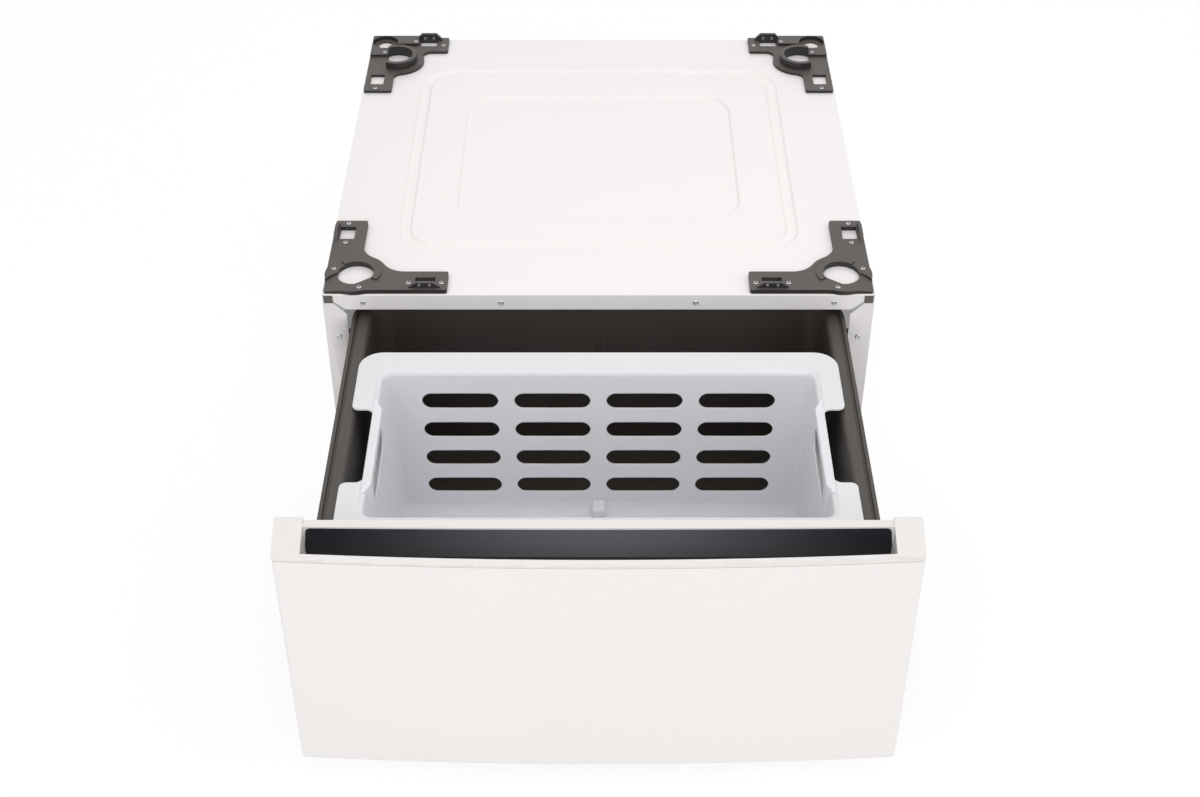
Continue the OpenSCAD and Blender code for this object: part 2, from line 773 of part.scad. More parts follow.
module rear_panel() {
    low = base_z + (inside_top - base_z - rear_pan_h) / 2;
    color(white_paint) at_cabinet() difference() {
        union() {
            block([-inside_half, cab_d - sheet_t, base_z], [inside_half, cab_d, inside_top]);
            along_y(cab_d - emboss_depth - sheet_t, cab_d - eps)
                round_rect(rear_pan_half_x + sheet_t, low - sheet_t, low + rear_pan_h + sheet_t,
                    rear_pan_r + sheet_t);
        }
        along_y(cab_d - emboss_depth, cab_d + eps)
            round_rect(rear_pan_half_x, low, low + rear_pan_h, rear_pan_r);
        for (side = [-1, 1]) at_post_screws(side) drill(cab_screw_r, 8);
        at_rear_base_screws() drill(cab_screw_r, 8);
    }
}

// A channel behind the top panel's front flange.
module front_top_rail() {
    end = opening_half - 1.5;
    low = opening_top + 0.6;
    color(zinc) at_cabinet() difference() {
        union() {
            block([-end, sheet_t, low], [end, sheet_t + rail_t, inside_top]);
            block([-end, sheet_t, inside_top - rail_t], [end, sheet_t + top_rail_depth, inside_top]);
            block([-end, sheet_t, low], [end, sheet_t + 0.6 * top_rail_depth, low + rail_t]);
        }
        at_flange_screws() drill(cab_screw_r, 8);
        plate_screw_holes();
    }
}

// A channel across the cabinet's base. It is drawn at the front, in (Y, Z).
module base_rail_outline() {
    square([rail_t, base_rail_h]);
    square([base_rail_depth, sheet_t]);
    translate([0, base_rail_h - rail_t]) square([16, rail_t]);
}

// Room for the lock nuts under the foot brackets.
module lock_nut_holes() {
    at_corners() translate([foot_inset_x, foot_inset_y, 0])
        cylinder(h = base_z + sheet_t + 0.1, r = lock_nut_r + 1.5);
}

module front_base_rail() {
    end = opening_half - mitre_gap;
    color(zinc) at_cabinet() difference() {
        translate([0, 0, base_z]) along_x(-end, end) base_rail_outline();
        lock_nut_holes();
    }
}

module rear_base_rail() {
    end = half_w - max(post_face, rear_flange_w + sheet_t) - mitre_gap;
    color(zinc) at_cabinet() difference() {
        translate([0, cab_d - sheet_t, base_z]) mirror([0, 1, 0]) along_x(-end, end) base_rail_outline();
        lock_nut_holes();
        at_rear_base_screws() drill(cab_screw_r, 8);
    }
}

// An upright angle in a corner, in corner coordinates.
module corner_post(end) {
    skin = end > 0 ? 2 * sheet_t : sheet_t;
    difference() {
        union() {
            block([sheet_t, skin, base_z + sheet_t], [sheet_t + post_t, post_leg, inside_top]);
            block([sheet_t, skin, base_z + sheet_t],
                [post_face, skin + post_t, inside_top]);
        }
        translate([side_screw_inset, 0, 0]) for (z = support_screw_zs)
            translate([0, 0, z]) rotate([90, 0, 0]) drill(cab_screw_r, 12);
    }
}

module corner_post_fl() {
    color(zinc) at_cabinet() at_corner(-1, -1) corner_post(-1);
}

module corner_post_fr() {
    color(zinc) at_cabinet() at_corner(1, -1) corner_post(-1);
}

module corner_post_rl() {
    color(zinc) at_cabinet() at_corner(-1, 1) corner_post(1);
}

module corner_post_rr() {
    color(zinc) at_cabinet() at_corner(1, 1) corner_post(1);
}

// Square plugs where the three bends of a front corner meet.
module corner_plugs() {
    color(dark_plastic) at_cabinet() both_sides() {
        along_y(-plug_proud, 0) plug_notch(0.4);
        along_y(-plug_proud / 2, sheet_t) plug_notch(-0.15);
    }
}

module cabinet_screws() {
    color(zinc) at_cabinet() {
        at_flange_screws() screw(cab_screw_head_r, cab_screw_head_h, cab_screw_r, 6);
        for (side = [-1, 1]) at_post_screws(side) screw(cab_screw_head_r, cab_screw_head_h, cab_screw_r, 8);
        at_rear_base_screws() screw(cab_screw_head_r, cab_screw_head_h, cab_screw_r, 6);
    }
}

// ---- corner plates

// Rounds an outline's outer corners and its hollow corners.
module softened(hollow_r) {
    offset(r = plate_corner_r, $fn = 24) offset(r = -plate_corner_r - hollow_r, $fn = 72)
        offset(r = hollow_r, $fn = 72) children();
}

module front_plate_outline() {
    softened(front_hollow_r) {
        translate([plate_inset, plate_inset]) square([side_arm_w, front_reach_y - plate_inset]);
        translate([plate_inset, plate_inset]) square([front_reach_x - plate_inset, front_arm_w]);
        translate([front_socket_x, front_socket_y]) circle(plate_round_r, $fn = 96);
    }
}

module rear_plate_outline() {
    softened(rear_hollow_r) {
        translate([plate_inset, plate_inset]) square([side_arm_w - 1, rear_reach_y - plate_inset]);
        translate([plate_inset, plate_inset]) square([rear_reach_x - plate_inset, rear_arm_w]);
        translate([rear_socket_x, rear_socket_y]) circle(plate_round_r, $fn = 96);
    }
}

// A raised tab that stands near a plate's edge.
module tab_wall(x, inset, foot_z, top_z) {
    translate([x, 0, 0]) along_y(plate_inset + inset, plate_inset + inset + tab_t) polygon([
        [-tab_foot_w / 2, foot_z - 2], [tab_foot_w / 2, foot_z - 2], [tab_foot_w / 2, foot_z],
        [tab_top_w / 2, top_z], [-tab_top_w / 2, top_z], [-tab_foot_w / 2, foot_z]]);
}

// A tab's two holes, and the slot behind it.
module tab_cuts(x, foot_z) {
    for (hole = [-1, 1]) translate([x + hole * tab_hole_pitch / 2, 0, foot_z + tab_hole_rise])
        rotate([-90, 0, 0]) cylinder(h = 2 * tab_inset + tab_t, r = tab_hole_r, $fn = 32);
    translate([x - tab_slot_w / 2, plate_inset + tab_inset + tab_t, cab_h - eps])
        cube([tab_slot_w, tab_slot_d, 30]);
}

module window_cut(y) {
    block([plate_inset + window_inset, y, cab_h - eps],
        [plate_inset + window_inset + window_w, y + window_l, plate_top + tab_h]);
}

module front_corner_plate() {
    side_tab_y = front_window_y + window_l / 2;
    difference() {
        union() {
            along_z(cab_h, plate_top) front_plate_outline();
            translate([front_socket_x, front_socket_y, cab_h]) difference() {
                cylinder(h = plate_t + ridge_h, r = front_socket_r + ridge_w);
                for (turn = [130, 185, 240]) rotate(turn) translate([0, 0, -eps]) cube([80, 80, 30]);
            }
            tab_wall(front_tab_x, tab_inset, plate_top, plate_top + tab_h);
            mirror([1, -1, 0]) tab_wall(side_tab_y, 1, plate_top, plate_top + tab_h);
        }
        difference() {
            translate([front_socket_x, front_socket_y, cab_h - eps])
                cylinder(h = plate_t + ridge_h + 2 * eps, r = front_socket_r);
            translate([front_socket_x, front_socket_y, cab_h - 2 * eps]) rotate(-54)
                translate([front_chord, -40, 0]) cube([40, 80, plate_t + 2 * eps]);
        }
        translate([plate_inset + dish_r - 2, 0.45 * dish_r, plate_top])
            rotate([0, -atan(dish_depth / dish_end), 0])
                translate([0, 0, -dish_depth * (dish_end - plate_inset - dish_r + 2) / dish_end])
                    cylinder(h = 2 * plate_t, r = dish_r);
        tab_cuts(front_tab_x, plate_top);
        translate([0, side_tab_y, plate_top + tab_hole_rise]) rotate([0, 90, 0])
            cylinder(h = plate_inset + 2 * tab_t, r = tab_hole_r, $fn = 32);
        window_cut(front_window_y);
        at_plate_screws(-1) drill(plate_screw_r, plate_screw_len);
    }
}

// The rear collar or its hole, with one flat side towards the cabinet's side.
module collar(r, z0) {
    translate([rear_socket_x, rear_socket_y, 0]) intersection() {
        translate([0, 0, z0]) cylinder(h = cab_h + rear_plate_t + collar_h - z0, r = r);
        translate([-rear_chord, -r, z0]) cube([2 * r, 2 * r, cab_h]);
    }
}

module rear_corner_plate() {
    difference() {
        union() {
            along_z(cab_h, rear_low) rear_plate_outline();
            along_z(rear_low - eps, rear_high) intersection() {
                rear_plate_outline();
                union() {
                    square([rear_socket_x - rear_chord, rear_step_y]);
                    square([rear_step_x, access_inset + access_r / 2]);
                }
            }
            collar(rear_socket_r + collar_wall, cab_h);
            tab_wall(rear_tab_x, tab_inset, rear_low, rear_high + tab_h);
        }
        translate([0, 0, eps]) collar(rear_socket_r, cab_h - 2 * eps);
        translate([access_inset, access_inset, cab_h - eps]) cylinder(h = 30, r = access_r);
        translate([access_inset, access_inset, cab_h + rear_plate_t / 2]) cylinder(h = 30, r = access_recess_r);
        tab_cuts(rear_tab_x, rear_low);
        window_cut(rear_window_y);
        at_plate_screws(1) drill(plate_screw_r, plate_screw_len);
    }
}

module corner_plate_fl() {
    color(dark_plastic) at_cabinet() at_corner(-1, -1) front_corner_plate();
}

module corner_plate_fr() {
    color(dark_plastic) at_cabinet() at_corner(1, -1) front_corner_plate();
}

module corner_plate_rl() {
    color(dark_plastic) at_cabinet() at_corner(-1, 1) rear_corner_plate();
}

module corner_plate_rr() {
    color(dark_plastic) at_cabinet() at_corner(1, 1) rear_corner_plate();
}

module corner_plate_screws() {
    color(zinc) at_cabinet() for (side = [-1, 1]) for (end = [-1, 1])
        at_corner(side, end) at_plate_screws(end)
            screw(plate_screw_head_r, plate_screw_head_h, plate_screw_r, plate_screw_len);
}

// ---- levelling feet

// A plate across a base corner with the foot's threaded bush.
module foot_bracket(end) {
    skin = (end > 0 ? 2 * sheet_t : sheet_t) + post_t;
    difference() {
        union() {
            block([sheet_t + post_t, skin, base_z + sheet_t],
                [foot_inset_x + bracket_reach, base_rail_depth, base_z + sheet_t + bracket_t]);
            translate([foot_inset_x, foot_inset_y, base_z + sheet_t])
                cylinder(h = bracket_t + bush_h, r = bush_r);
        }
        translate([foot_inset_x, foot_inset_y, base_z])
            cylinder(h = bracket_t + bush_h + 5, r = stud_r + thread_clear);
    }
}

module foot_bracket_fl() {
    color(zinc) at_cabinet() at_corner(-1, -1) foot_bracket(-1);
}

module foot_bracket_fr() {
    color(zinc) at_cabinet() at_corner(1, -1) foot_bracket(-1);
}

module foot_bracket_rl() {
    color(zinc) at_cabinet() at_corner(-1, 1) foot_bracket(1);
}

module foot_bracket_rr() {
    color(zinc) at_cabinet() at_corner(1, 1) foot_bracket(1);
}

module lock_nuts() {
    color(zinc) at_cabinet() at_corners()
        translate([foot_inset_x, foot_inset_y, base_z + sheet_t - lock_nut_h]) difference() {
            cylinder(h = lock_nut_h, r = lock_nut_r, $fn = 6);
            translate([0, 0, -eps]) cylinder(h = lock_nut_h + 2 * eps, r = stud_r + thread_clear);
        }
}

// A stud with a hex flange and a spigot that turns in the foot pad.
module foot_stud(side, end) {
    spigot = stud_r - 1;
    color(zinc) at_cabinet() at_corner(side, end) translate([foot_inset_x, foot_inset_y, 0]) {
        translate([0, 0, pad_h + 0.1])
            cylinder(h = foot_top_gap - pad_h - 0.1, r = lock_nut_r + 0.3, $fn = 6);
        translate([0, 0, foot_top_gap - eps]) cylinder(h = stud_len + eps, r = stud_r);
        translate([0, 0, pad_h - 3.5]) cylinder(h = 5, r = spigot);
    }
}

module foot_pad(side, end) {
    color(rubber) at_cabinet() at_corner(side, end) translate([foot_inset_x, foot_inset_y, 0])
        difference() {
            union() {
                cylinder(h = 3, r = pad_r);
                translate([0, 0, 3]) cylinder(h = pad_h - 3, r1 = pad_r, r2 = 0.7 * pad_r);
            }
            translate([0, 0, pad_h - 3.8]) cylinder(h = 5, r = stud_r - 1 + thread_clear);
        }
}

module foot_stud_fl() {
    foot_stud(-1, -1);
}

module foot_stud_fr() {
    foot_stud(1, -1);
}

module foot_stud_rl() {
    foot_stud(-1, 1);
}

module foot_stud_rr() {
    foot_stud(1, 1);
}

module foot_pad_fl() {
    foot_pad(-1, -1);
}

module foot_pad_fr() {
    foot_pad(1, -1);
}

module foot_pad_rl() {
    foot_pad(-1, 1);
}

module foot_pad_rr() {
    foot_pad(1, 1);
}

// ---- slides

// A rail between the front and rear posts that carries a slide. Drawn on the right.
module slide_support() {
    y0 = sheet_t + post_t;
    y1 = cab_d - 2 * sheet_t - post_t;
    x1 = inside_half - post_t - 0.3;
    difference() {
        union() {
            block([support_x, y0, support_bottom], [support_x + rail_t, y1, support_top]);
            block([support_x, y0, support_bottom], [x1, y0 + rail_t, support_top]);
            block([support_x, y1 - rail_t, support_bottom], [x1, y1, support_top]);
            for (z = [support_bottom, support_top - rail_t])
                block([support_x, y0, z], [support_x + support_lip, y1, z + rail_t]);
        }
        at_post_screws(1) drill(cab_screw_r, 8);
        for (y = rivet_ys) translate([support_x, y, slide_z]) rotate([0, 90, 0])
            translate([0, 0, -5]) cylinder(h = 10, r = rivet_r + screw_clear, $fn = 32);
    }
}

module slide_support_left() {
    color(black_paint) at_cabinet() on_side(-1) slide_support();
}

module slide_support_right() {
    color(black_paint) at_cabinet() on_side(1) slide_support();
}

module slide_rivets() {
    color(steel) at_cabinet() both_sides() for (y = rivet_ys)
        translate([support_x - gauge, y, slide_z]) rotate([0, 90, 0]) {
            cylinder(h = gauge + rail_t + 1, r = rivet_r, $fn = 32);
            translate([0, 0, gauge + rail_t]) cylinder(h = 1.8, r1 = 2 * rivet_r, r2 = 1.4 * rivet_r, $fn = 32);
        }
}

// Half of a channel's outline in (u, Z), mirrored top to bottom.
module top_and_bottom() {
    children();
    mirror([0, 1]) children();
}

module outer_member_outline() {
    translate([slide_t - gauge, -slide_h / 2]) square([gauge, slide_h]);
    top_and_bottom() {
        translate([outer_edge_u, outer_inside]) square([slide_t - outer_edge_u, gauge]);
        translate([outer_edge_u, outer_inside - gauge]) square([gauge, gauge + 0.1]);
    }
}

module mid_member_outline() {
    translate([mid_web_u, -mid_half_h]) square([gauge, 2 * mid_half_h]);
    top_and_bottom() {
        translate([mid_edge_u, mid_half_h - gauge]) square([mid_web_u + gauge - mid_edge_u, gauge]);
        translate([mid_edge_u, mid_half_h - 1.9 * gauge]) square([gauge, 2.9 * gauge]);
    }
}

module inner_member_outline() {
    translate([0, -inner_half_h]) square([gauge, 2 * inner_half_h]);
    top_and_bottom() {
        translate([0, inner_half_h - gauge]) square([inner_depth, gauge]);
        translate([inner_depth - 0.6, inner_half_h - gauge]) square([0.6, gauge + 0.8]);
    }
}

// A cage is a thin channel with a round hole for each ball.
module cage_outline(web_u, edge_u, ball_z) {
    half_h = ball_z + cage_t / 2;
    difference() {
        translate([edge_u, -half_h]) square([web_u + cage_t - edge_u, 2 * half_h]);
        translate([edge_u - 1, cage_t - half_h]) square([web_u + 1 - edge_u, 2 * half_h - 2 * cage_t]);
    }
}

// The balls' places along a cage.
function ball_ys(front) = [for (i = [0 : balls_per_row - 1])
    front + ball_end + i * (cage_len - 2 * ball_end) / (balls_per_row - 1)];

module ball_cage(front, web_u, edge_u, ball_u, ball_z, ball_r) {
    translate([slide_x, 0, slide_z]) difference() {
        along_y(front, front + cage_len) cage_outline(web_u, edge_u, ball_z);
        for (y = ball_ys(front)) translate([ball_u, y, -2 * ball_z])
            cylinder(h = 4 * ball_z, r = ball_r + cage_clear, $fn = 32);
    }
}

module ball_rows(front, ball_u, ball_z, ball_r) {
    for (y = ball_ys(front)) for (row = [-1, 1])
        translate([slide_x + ball_u, y, slide_z + row * ball_z]) sphere(ball_r, $fn = 32);
}

module slide_outer(side) {
    color(zinc) at_cabinet() on_side(side) difference() {
        translate([slide_x, 0, slide_z]) along_y(slide_front, slide_front + slide_len) outer_member_outline();
        for (y = rivet_ys) translate([support_x - 5, y, slide_z]) rotate([0, 90, 0])
            cylinder(h = 10, r = rivet_r + screw_clear, $fn = 32);
    }
}

module slide_outer_left() {
    slide_outer(-1);
}

module slide_outer_right() {
    slide_outer(1);
}

module slide_mid(side) {
    color(zinc) at_drawer(mid_share) on_side(side) translate([slide_x, 0, slide_z])
        along_y(mid_front, mid_front + slide_mid_len) mid_member_outline();
}

module slide_mid_left() {
    slide_mid(-1);
}

module slide_mid_right() {
    slide_mid(1);
}

// Puts children at the inner members' screws, pointing outwards.
module at_drawer_slide_screws() {
    for (y = drawer_screw_ys) translate([slide_x + gauge, y, slide_z]) rotate([0, 90, 0]) children();
}

module slide_inner(side) {
    color(zinc) at_drawer() on_side(side) difference() {
        translate([slide_x, 0, slide_z]) along_y(0, slide_len) inner_member_outline();
        at_drawer_slide_screws() drill(cab_screw_r, 6);
    }
}

module slide_inner_left() {
    slide_inner(-1);
}

module slide_inner_right() {
    slide_inner(1);
}

module outer_ball_cage(side) {
    color(steel) at_drawer(outer_cage_share) on_side(side)
        ball_cage(outer_cage_front, outer_cage_u, outer_edge_u + gauge + 0.4, outer_ball_u, outer_ball_z,
            outer_ball_r);
}

module outer_ball_cage_left() {
    outer_ball_cage(-1);
}

module outer_ball_cage_right() {
    outer_ball_cage(1);
}

module inner_ball_cage(side) {
    color(steel) at_drawer(inner_cage_share) on_side(side)
        ball_cage(inner_cage_front, inner_cage_u, mid_edge_u + 0.6, inner_ball_u, inner_ball_z, inner_ball_r);
}

module inner_ball_cage_left() {
    inner_ball_cage(-1);
}

module inner_ball_cage_right() {
    inner_ball_cage(1);
}

module outer_balls(side) {
    color(steel) at_drawer(outer_cage_share) on_side(side)
        ball_rows(outer_cage_front, outer_ball_u, outer_ball_z, outer_ball_r);
}

module outer_balls_left() {
    outer_balls(-1);
}

module outer_balls_right() {
    outer_balls(1);
}

module inner_balls(side) {
    color(steel) at_drawer(inner_cage_share) on_side(side)
        ball_rows(inner_cage_front, inner_ball_u, inner_ball_z, inner_ball_r);
}

module inner_balls_left() {
    inner_balls(-1);
}

module inner_balls_right() {
    inner_balls(1);
}

// ---- drawer tub

// The rim's outline, drawn in by some distance from its outer edge.
module rim_outline(inset) {
    tray(rim_half - inset, tub_front + inset, rim_rear - inset, max(1, 4 - inset), tub_r + rim_back_w - inset);
}

module tub_hollow_outline(grow) {
    round_rect(tub_in_half + grow, tub_in_front - grow, tub_in_rear + grow, tub_r + grow);
}

// Puts children at the tub's front screws, pointing backwards.
module at_tub_screws() {
    for (side = [-1, 1]) for (share = [0.4, 1]) for (z = [tub_bottom + tub_screw_low, ledge_z - tub_screw_high])
        translate([side * share * (tub_in_half - tub_screw_inset), tub_in_front, z]) rotate([-90, 0, 0]) children();
}

module drawer_tub() {
    ledge_inset = rim_lip_w + rim_groove_w;
    groove_bottom = rim_z - rim_groove_d;
    color(tub_plastic) at_drawer() difference() {
        union() {
            along_z(tub_bottom, ledge_z) tub_hollow_outline(tub_wall);
            along_z(groove_bottom - tub_wall, rim_z) difference() {
                rim_outline(0);
                tub_hollow_outline(0.2);
            }
            along_z(rim_z - skirt_h, rim_z) difference() {
                rim_outline(0);
                rim_outline(tub_wall - 0.2);
            }
            both_sides() for (y = drawer_screw_ys)
                block([tub_out_half - eps, y - slide_pad_half, slide_z - slide_pad_half],
                    [slide_x, y + slide_pad_half, slide_z + slide_pad_half]);
            at_tub_screws() translate([0, 0, -rim_front_w])
                cylinder(h = rim_front_w - tub_wall / 2, r = tub_boss_r);
            for (place = [-3, -1, 1, 3]) translate([place * tub_in_half / 4, 0, 0])
                block([-rib_t / 2, tub_out_front + tub_r, tub_bottom - floor_rib_h],
                    [rib_t / 2, tub_out_rear - tub_r, tub_bottom + eps]);
        }
        difference() {
            along_z(tub_bottom + tub_wall, rim_z + eps) tub_hollow_outline(0);
            for (side = [-1, 1]) translate([side * back_rib_pitch / 2, tub_in_rear, slide_z])
                block([-rib_t / 2, -back_rib_d, -back_rib_h / 2], [rib_t / 2, eps, back_rib_h / 2]);
        }
        along_z(groove_bottom, rim_z + eps) difference() {
            rim_outline(rim_lip_w);
            rim_outline(ledge_inset);
        }
        along_z(ledge_z, rim_z + eps) rim_outline(ledge_inset - 0.1);
        at_drawer_slide_screws() drill(cab_screw_r - 0.1, 4.8);
        mirror([1, 0, 0]) at_drawer_slide_screws() drill(cab_screw_r - 0.1, 4.8);
        at_tub_screws() drill(cab_screw_r, rim_front_w + 2);
    }
}

module tub_screws() {
    color(zinc) at_drawer() at_tub_screws() screw(cab_screw_head_r, cab_screw_head_h, cab_screw_r, rim_front_w + 6);
}

module drawer_slide_screws() {
    color(zinc) at_drawer() both_sides() at_drawer_slide_screws()
        screw(cab_screw_head_r, cab_screw_head_h, cab_screw_r - 0.1 - screw_clear, 4.6);
}

// ---- drawer front

// The drawer front seen from above, drawn in by some distance from its face and sides.
// Its face can be left out of the outline by giving it some reach beyond the bow.
module front_outline(inset, reach = 0) {
    r = max(0.5, front_edge_r - inset);
    half = half_w - inset;
    corner_r = bow_r - inset - r;
    lean = asin((half - r) / corner_r);
    corner_y = bow_axis_y - corner_r * cos(lean);
    edge_x = half - r + r * sin(lean);
    intersection() {
        translate([0, bow_axis_y]) circle(bow_r - inset + reach, $fn = big_fn);
        translate([-edge_x, front_face_y - 1 - reach]) square([2 * edge_x, 1 + reach - front_gap - front_face_y]);
    }
    for (side = [-1, 1]) {
        translate([side * (half - r), corner_y]) circle(r);
        translate([side > 0 ? half - r - 0.4 : -half, corner_y]) square([r + 0.4, -front_gap - corner_y]);
    }
}

// The drawer front seen from the front, with its rounded lower corners.
module front_elevation(inset, top) {
    r = front_edge_r;
    translate([-half_w + inset, front_bottom + inset + r]) square([cab_w - 2 * inset, top - front_bottom - inset - r]);
    translate([-half_w + inset + r, front_bottom + inset]) square([cab_w - 2 * inset - 2 * r, r + 1]);
    for (side = [-1, 1]) translate([side * (half_w - inset - r), front_bottom + inset + r]) circle(r);
}

module front_block(inset, y1, top) {
    intersection() {
        along_z(front_bottom + inset, top) front_outline(inset);
        along_y(front_face_y - 1, y1) front_elevation(inset, top);
    }
}

module drawer_front_skin() {
    color(white_paint) at_drawer() difference() {
        front_block(0, -front_gap - inner_t, parting_z - parting_gap);
        front_block(skin_t, 1, parting_z + 5);
    }
}

module drawer_inner_panel() {
    color(white_paint) at_drawer() difference() {
        along_y(-front_gap - inner_t, -front_gap) front_elevation(0, parting_z - parting_gap);
        at_tub_screws() drill(cab_screw_r, rim_front_w + 10);
    }
}

// The lip's and caps' section, revolved about the front's tall axis. Depth runs back from the face.
module lip_section(depth) {
    centre_z = cap_top - tan(cap_slope) * (front_side_t - lip_r + lip_r * sin(cap_slope)) - lip_r * cos(cap_slope);
    tangent = [bow_r - lip_r + lip_r * sin(cap_slope), centre_z + lip_r * cos(cap_slope)];
    back_r = bow_r - depth;
    polygon([
        [back_r, parting_z], [bow_r, parting_z], [bow_r, centre_z], [bow_r - lip_r, centre_z], tangent,
        [back_r, tangent[1] + tan(cap_slope) * (tangent[0] - back_r)]]);
    intersection() {
        translate([bow_r - lip_r, centre_z]) circle(lip_r);
        translate([bow_r - lip_r, centre_z]) square(lip_r + 1);
    }
}

module lip_body() {
    intersection() {
        translate([0, bow_axis_y, 0]) rotate([0, 0, -95]) rotate_extrude(angle = 10, $fn = big_fn)
            lip_section(front_side_t + front_bow + 4);
        along_z(parting_z, cap_top) front_outline(0, 2);
    }
}

// The strip's front surface from above: a shallow bow of flat facets.
module strip_arc(behind) {
    bow = [for (i = [-strip_facets : strip_facets])
        let (x = i * half_w / strip_facets) [x, strip_axis_y + behind - sqrt(pow(strip_bow_r, 2) - x * x)]];
    polygon(concat(bow, [[half_w, -front_gap], [-half_w, -front_gap]]));
}

module strip_elevation(grow) {
    half = strip_half + grow;
    top = strip_top + grow;
    translate([-half, strip_bottom - grow]) square([2 * half, top - strip_r - strip_bottom + grow]);
    translate([-half + strip_r, top - strip_r - 1]) square([2 * half - 2 * strip_r, strip_r + 1]);
    for (side = [-1, 1]) translate([side * (half - strip_r), top - strip_r]) circle(strip_r, $fn = 12);
}

module handle_trim() {
    recess_back = -front_gap - rim_depth - strip_bow - 3;
    tray_half = recess_half + trim_t;
    color(white_plastic) at_drawer() difference() {
        union() {
            difference() {
                lip_body();
                block([-recess_half, -front_gap - 60, rim_top], [recess_half, 1, cap_top + 5]);
            }
            intersection() {
                along_z(recess_floor - trim_t, parting_z + 1) front_outline(skin_t + 0.2);
                block([-tray_half, front_face_y - 1, recess_floor - trim_t],
                    [tray_half, -front_gap - inner_t - 0.1, parting_z + 1]);
            }
        }
        difference() {
            intersection() {
                along_z(recess_floor, cap_top + 5) front_outline(lip_t);
                block([-recess_half, front_face_y, recess_floor], [recess_half, 0, cap_top + 5]);
            }
            along_z(recess_floor - 1, cap_top + 6) strip_arc(0);
        }
        intersection() {
            along_z(recess_floor, cap_top) difference() {
                strip_arc(-0.1);
                strip_arc(strip_t + 0.1);
            }
            along_y(-50, 0) strip_elevation(0.1);
        }
        // The rear wall is hollow from below.
        block([-tray_half + trim_t, -front_gap - rim_depth + strip_t + trim_t, recess_floor - 5],
            [tray_half - trim_t, -front_gap - trim_t, rim_top - trim_t - 1]);
        // So are the end caps.
        both_sides() intersection() {
            block([tray_half, recess_back - 40, parting_z - eps], [half_w, -front_gap - trim_t, parting_z + 5]);
            along_z(parting_z - 1, cap_top) front_outline(trim_t + 1);
        }
    }
}

module handle_strip() {
    color(gloss_black) at_drawer() intersection() {
        along_z(recess_floor, cap_top) difference() {
            strip_arc(0.3);
            strip_arc(strip_t);
        }
        along_y(-50, 0) strip_elevation(0);
    }
}

module drawer_bumpers() {
    color(rubber) at_drawer() for (side = [-1, 1]) for (z = [front_bottom + 40, parting_z - 40])
        translate([side * (half_w - 13), -front_gap, z]) rotate([-90, 0, 0])
            cylinder(h = front_gap - bumper_gap, r1 = bumper_r, r2 = 0.8 * bumper_r, $fn = 32);
}

// ---- basket

module basket_slice(grow, lean, z, t) {
    translate([0, 0, z]) linear_extrude(t)
        round_rect(basket_in_half + grow - lean, basket_in_y0 - grow + lean / 2,
            basket_in_y1 + grow - lean / 4, basket_r + grow - lean / 2, $fn = 32);
}

// The basket's leaning walls: a solid from its floor to its rim.
module basket_body(grow, z0) {
    hull() {
        basket_slice(grow, basket_lean, z0, 0.1);
        basket_slice(grow, 0, basket_top - 0.1, 0.1);
    }
}

module basket_rim_outline(inset) {
    round_rect(basket_half - inset, basket_y0 + inset, basket_y1 - inset, basket_rim_r);
}

// The inner edge of the flat rim.
module basket_step_outline() {
    round_rect(basket_half - basket_rim_side, basket_y0 + basket_rim_end, basket_y1 - basket_rim_end,
        basket_r + shoulder_side);
}

module end_wall_slots() {
    for (c = [0 : slot_columns - 1]) for (r = [0 : slot_rows - 1])
        translate([(c - (slot_columns - 1) / 2) * slot_pitch_x, 0, basket_top - slot_top - r * slot_pitch_z])
            rotate([90, 0, 0]) linear_extrude(2 * cab_d, center = true) stadium(slot_len, slot_h);
}

// The notch in the right-hand rim: its outline from above.
module notch_outline(grow) {
    x0 = notch_rim_x - grow;
    half = notch_len / 2 + grow;
    translate([x0 + notch_r, notch_y - half]) square([60, 2 * half]);
    translate([x0, notch_y - half + notch_r]) square([notch_r + 1, 2 * half - 2 * notch_r]);
    for (end = [-1, 1])
        translate([x0 + notch_r, notch_y + end * (half - notch_r)]) circle(notch_r);
}

module laundry_basket() {
    grip_depth = hand_slot_top + hand_slot_h + 12;
    color(basket_plastic) at_drawer() difference() {
        union() {
            difference() {
                union() {
                    basket_body(basket_wall, basket_floor - basket_wall);
                    along_z(basket_rim_bottom, basket_top) difference() {
                        basket_rim_outline(0);
                        basket_step_outline();
                    }
                    along_z(basket_rim_bottom - shoulder_step, basket_top - shoulder_step) basket_step_outline();
                }
                basket_body(0, basket_floor);
                both_sides() along_z(basket_top - grip_depth, basket_top + eps)
                    notch_outline(-0.01);
            }
            both_sides() difference() {
                block([notch_wall_x, notch_y - notch_len / 2 - 4, basket_top - grip_depth - 4],
                    [notch_rim_x + 0.5, notch_y + notch_len / 2 + 4, basket_top - 0.2]);
                block([notch_wall_x + basket_wall, notch_y - notch_len / 2 - 1.5, 0],
                    [notch_rim_x + 30, notch_y + notch_len / 2 + 1.5, basket_top - basket_rim_t]);
            }
        }
        end_wall_slots();
        both_sides() {
            translate([0, notch_y, basket_top - hand_slot_top - hand_slot_h / 2])
                along_x(notch_wall_x - 30, basket_half + 5) stadium(hand_slot_len, hand_slot_h);
            along_z(basket_top - basket_rim_t - 1, basket_top + eps) notch_outline(0);
        }
    }
}

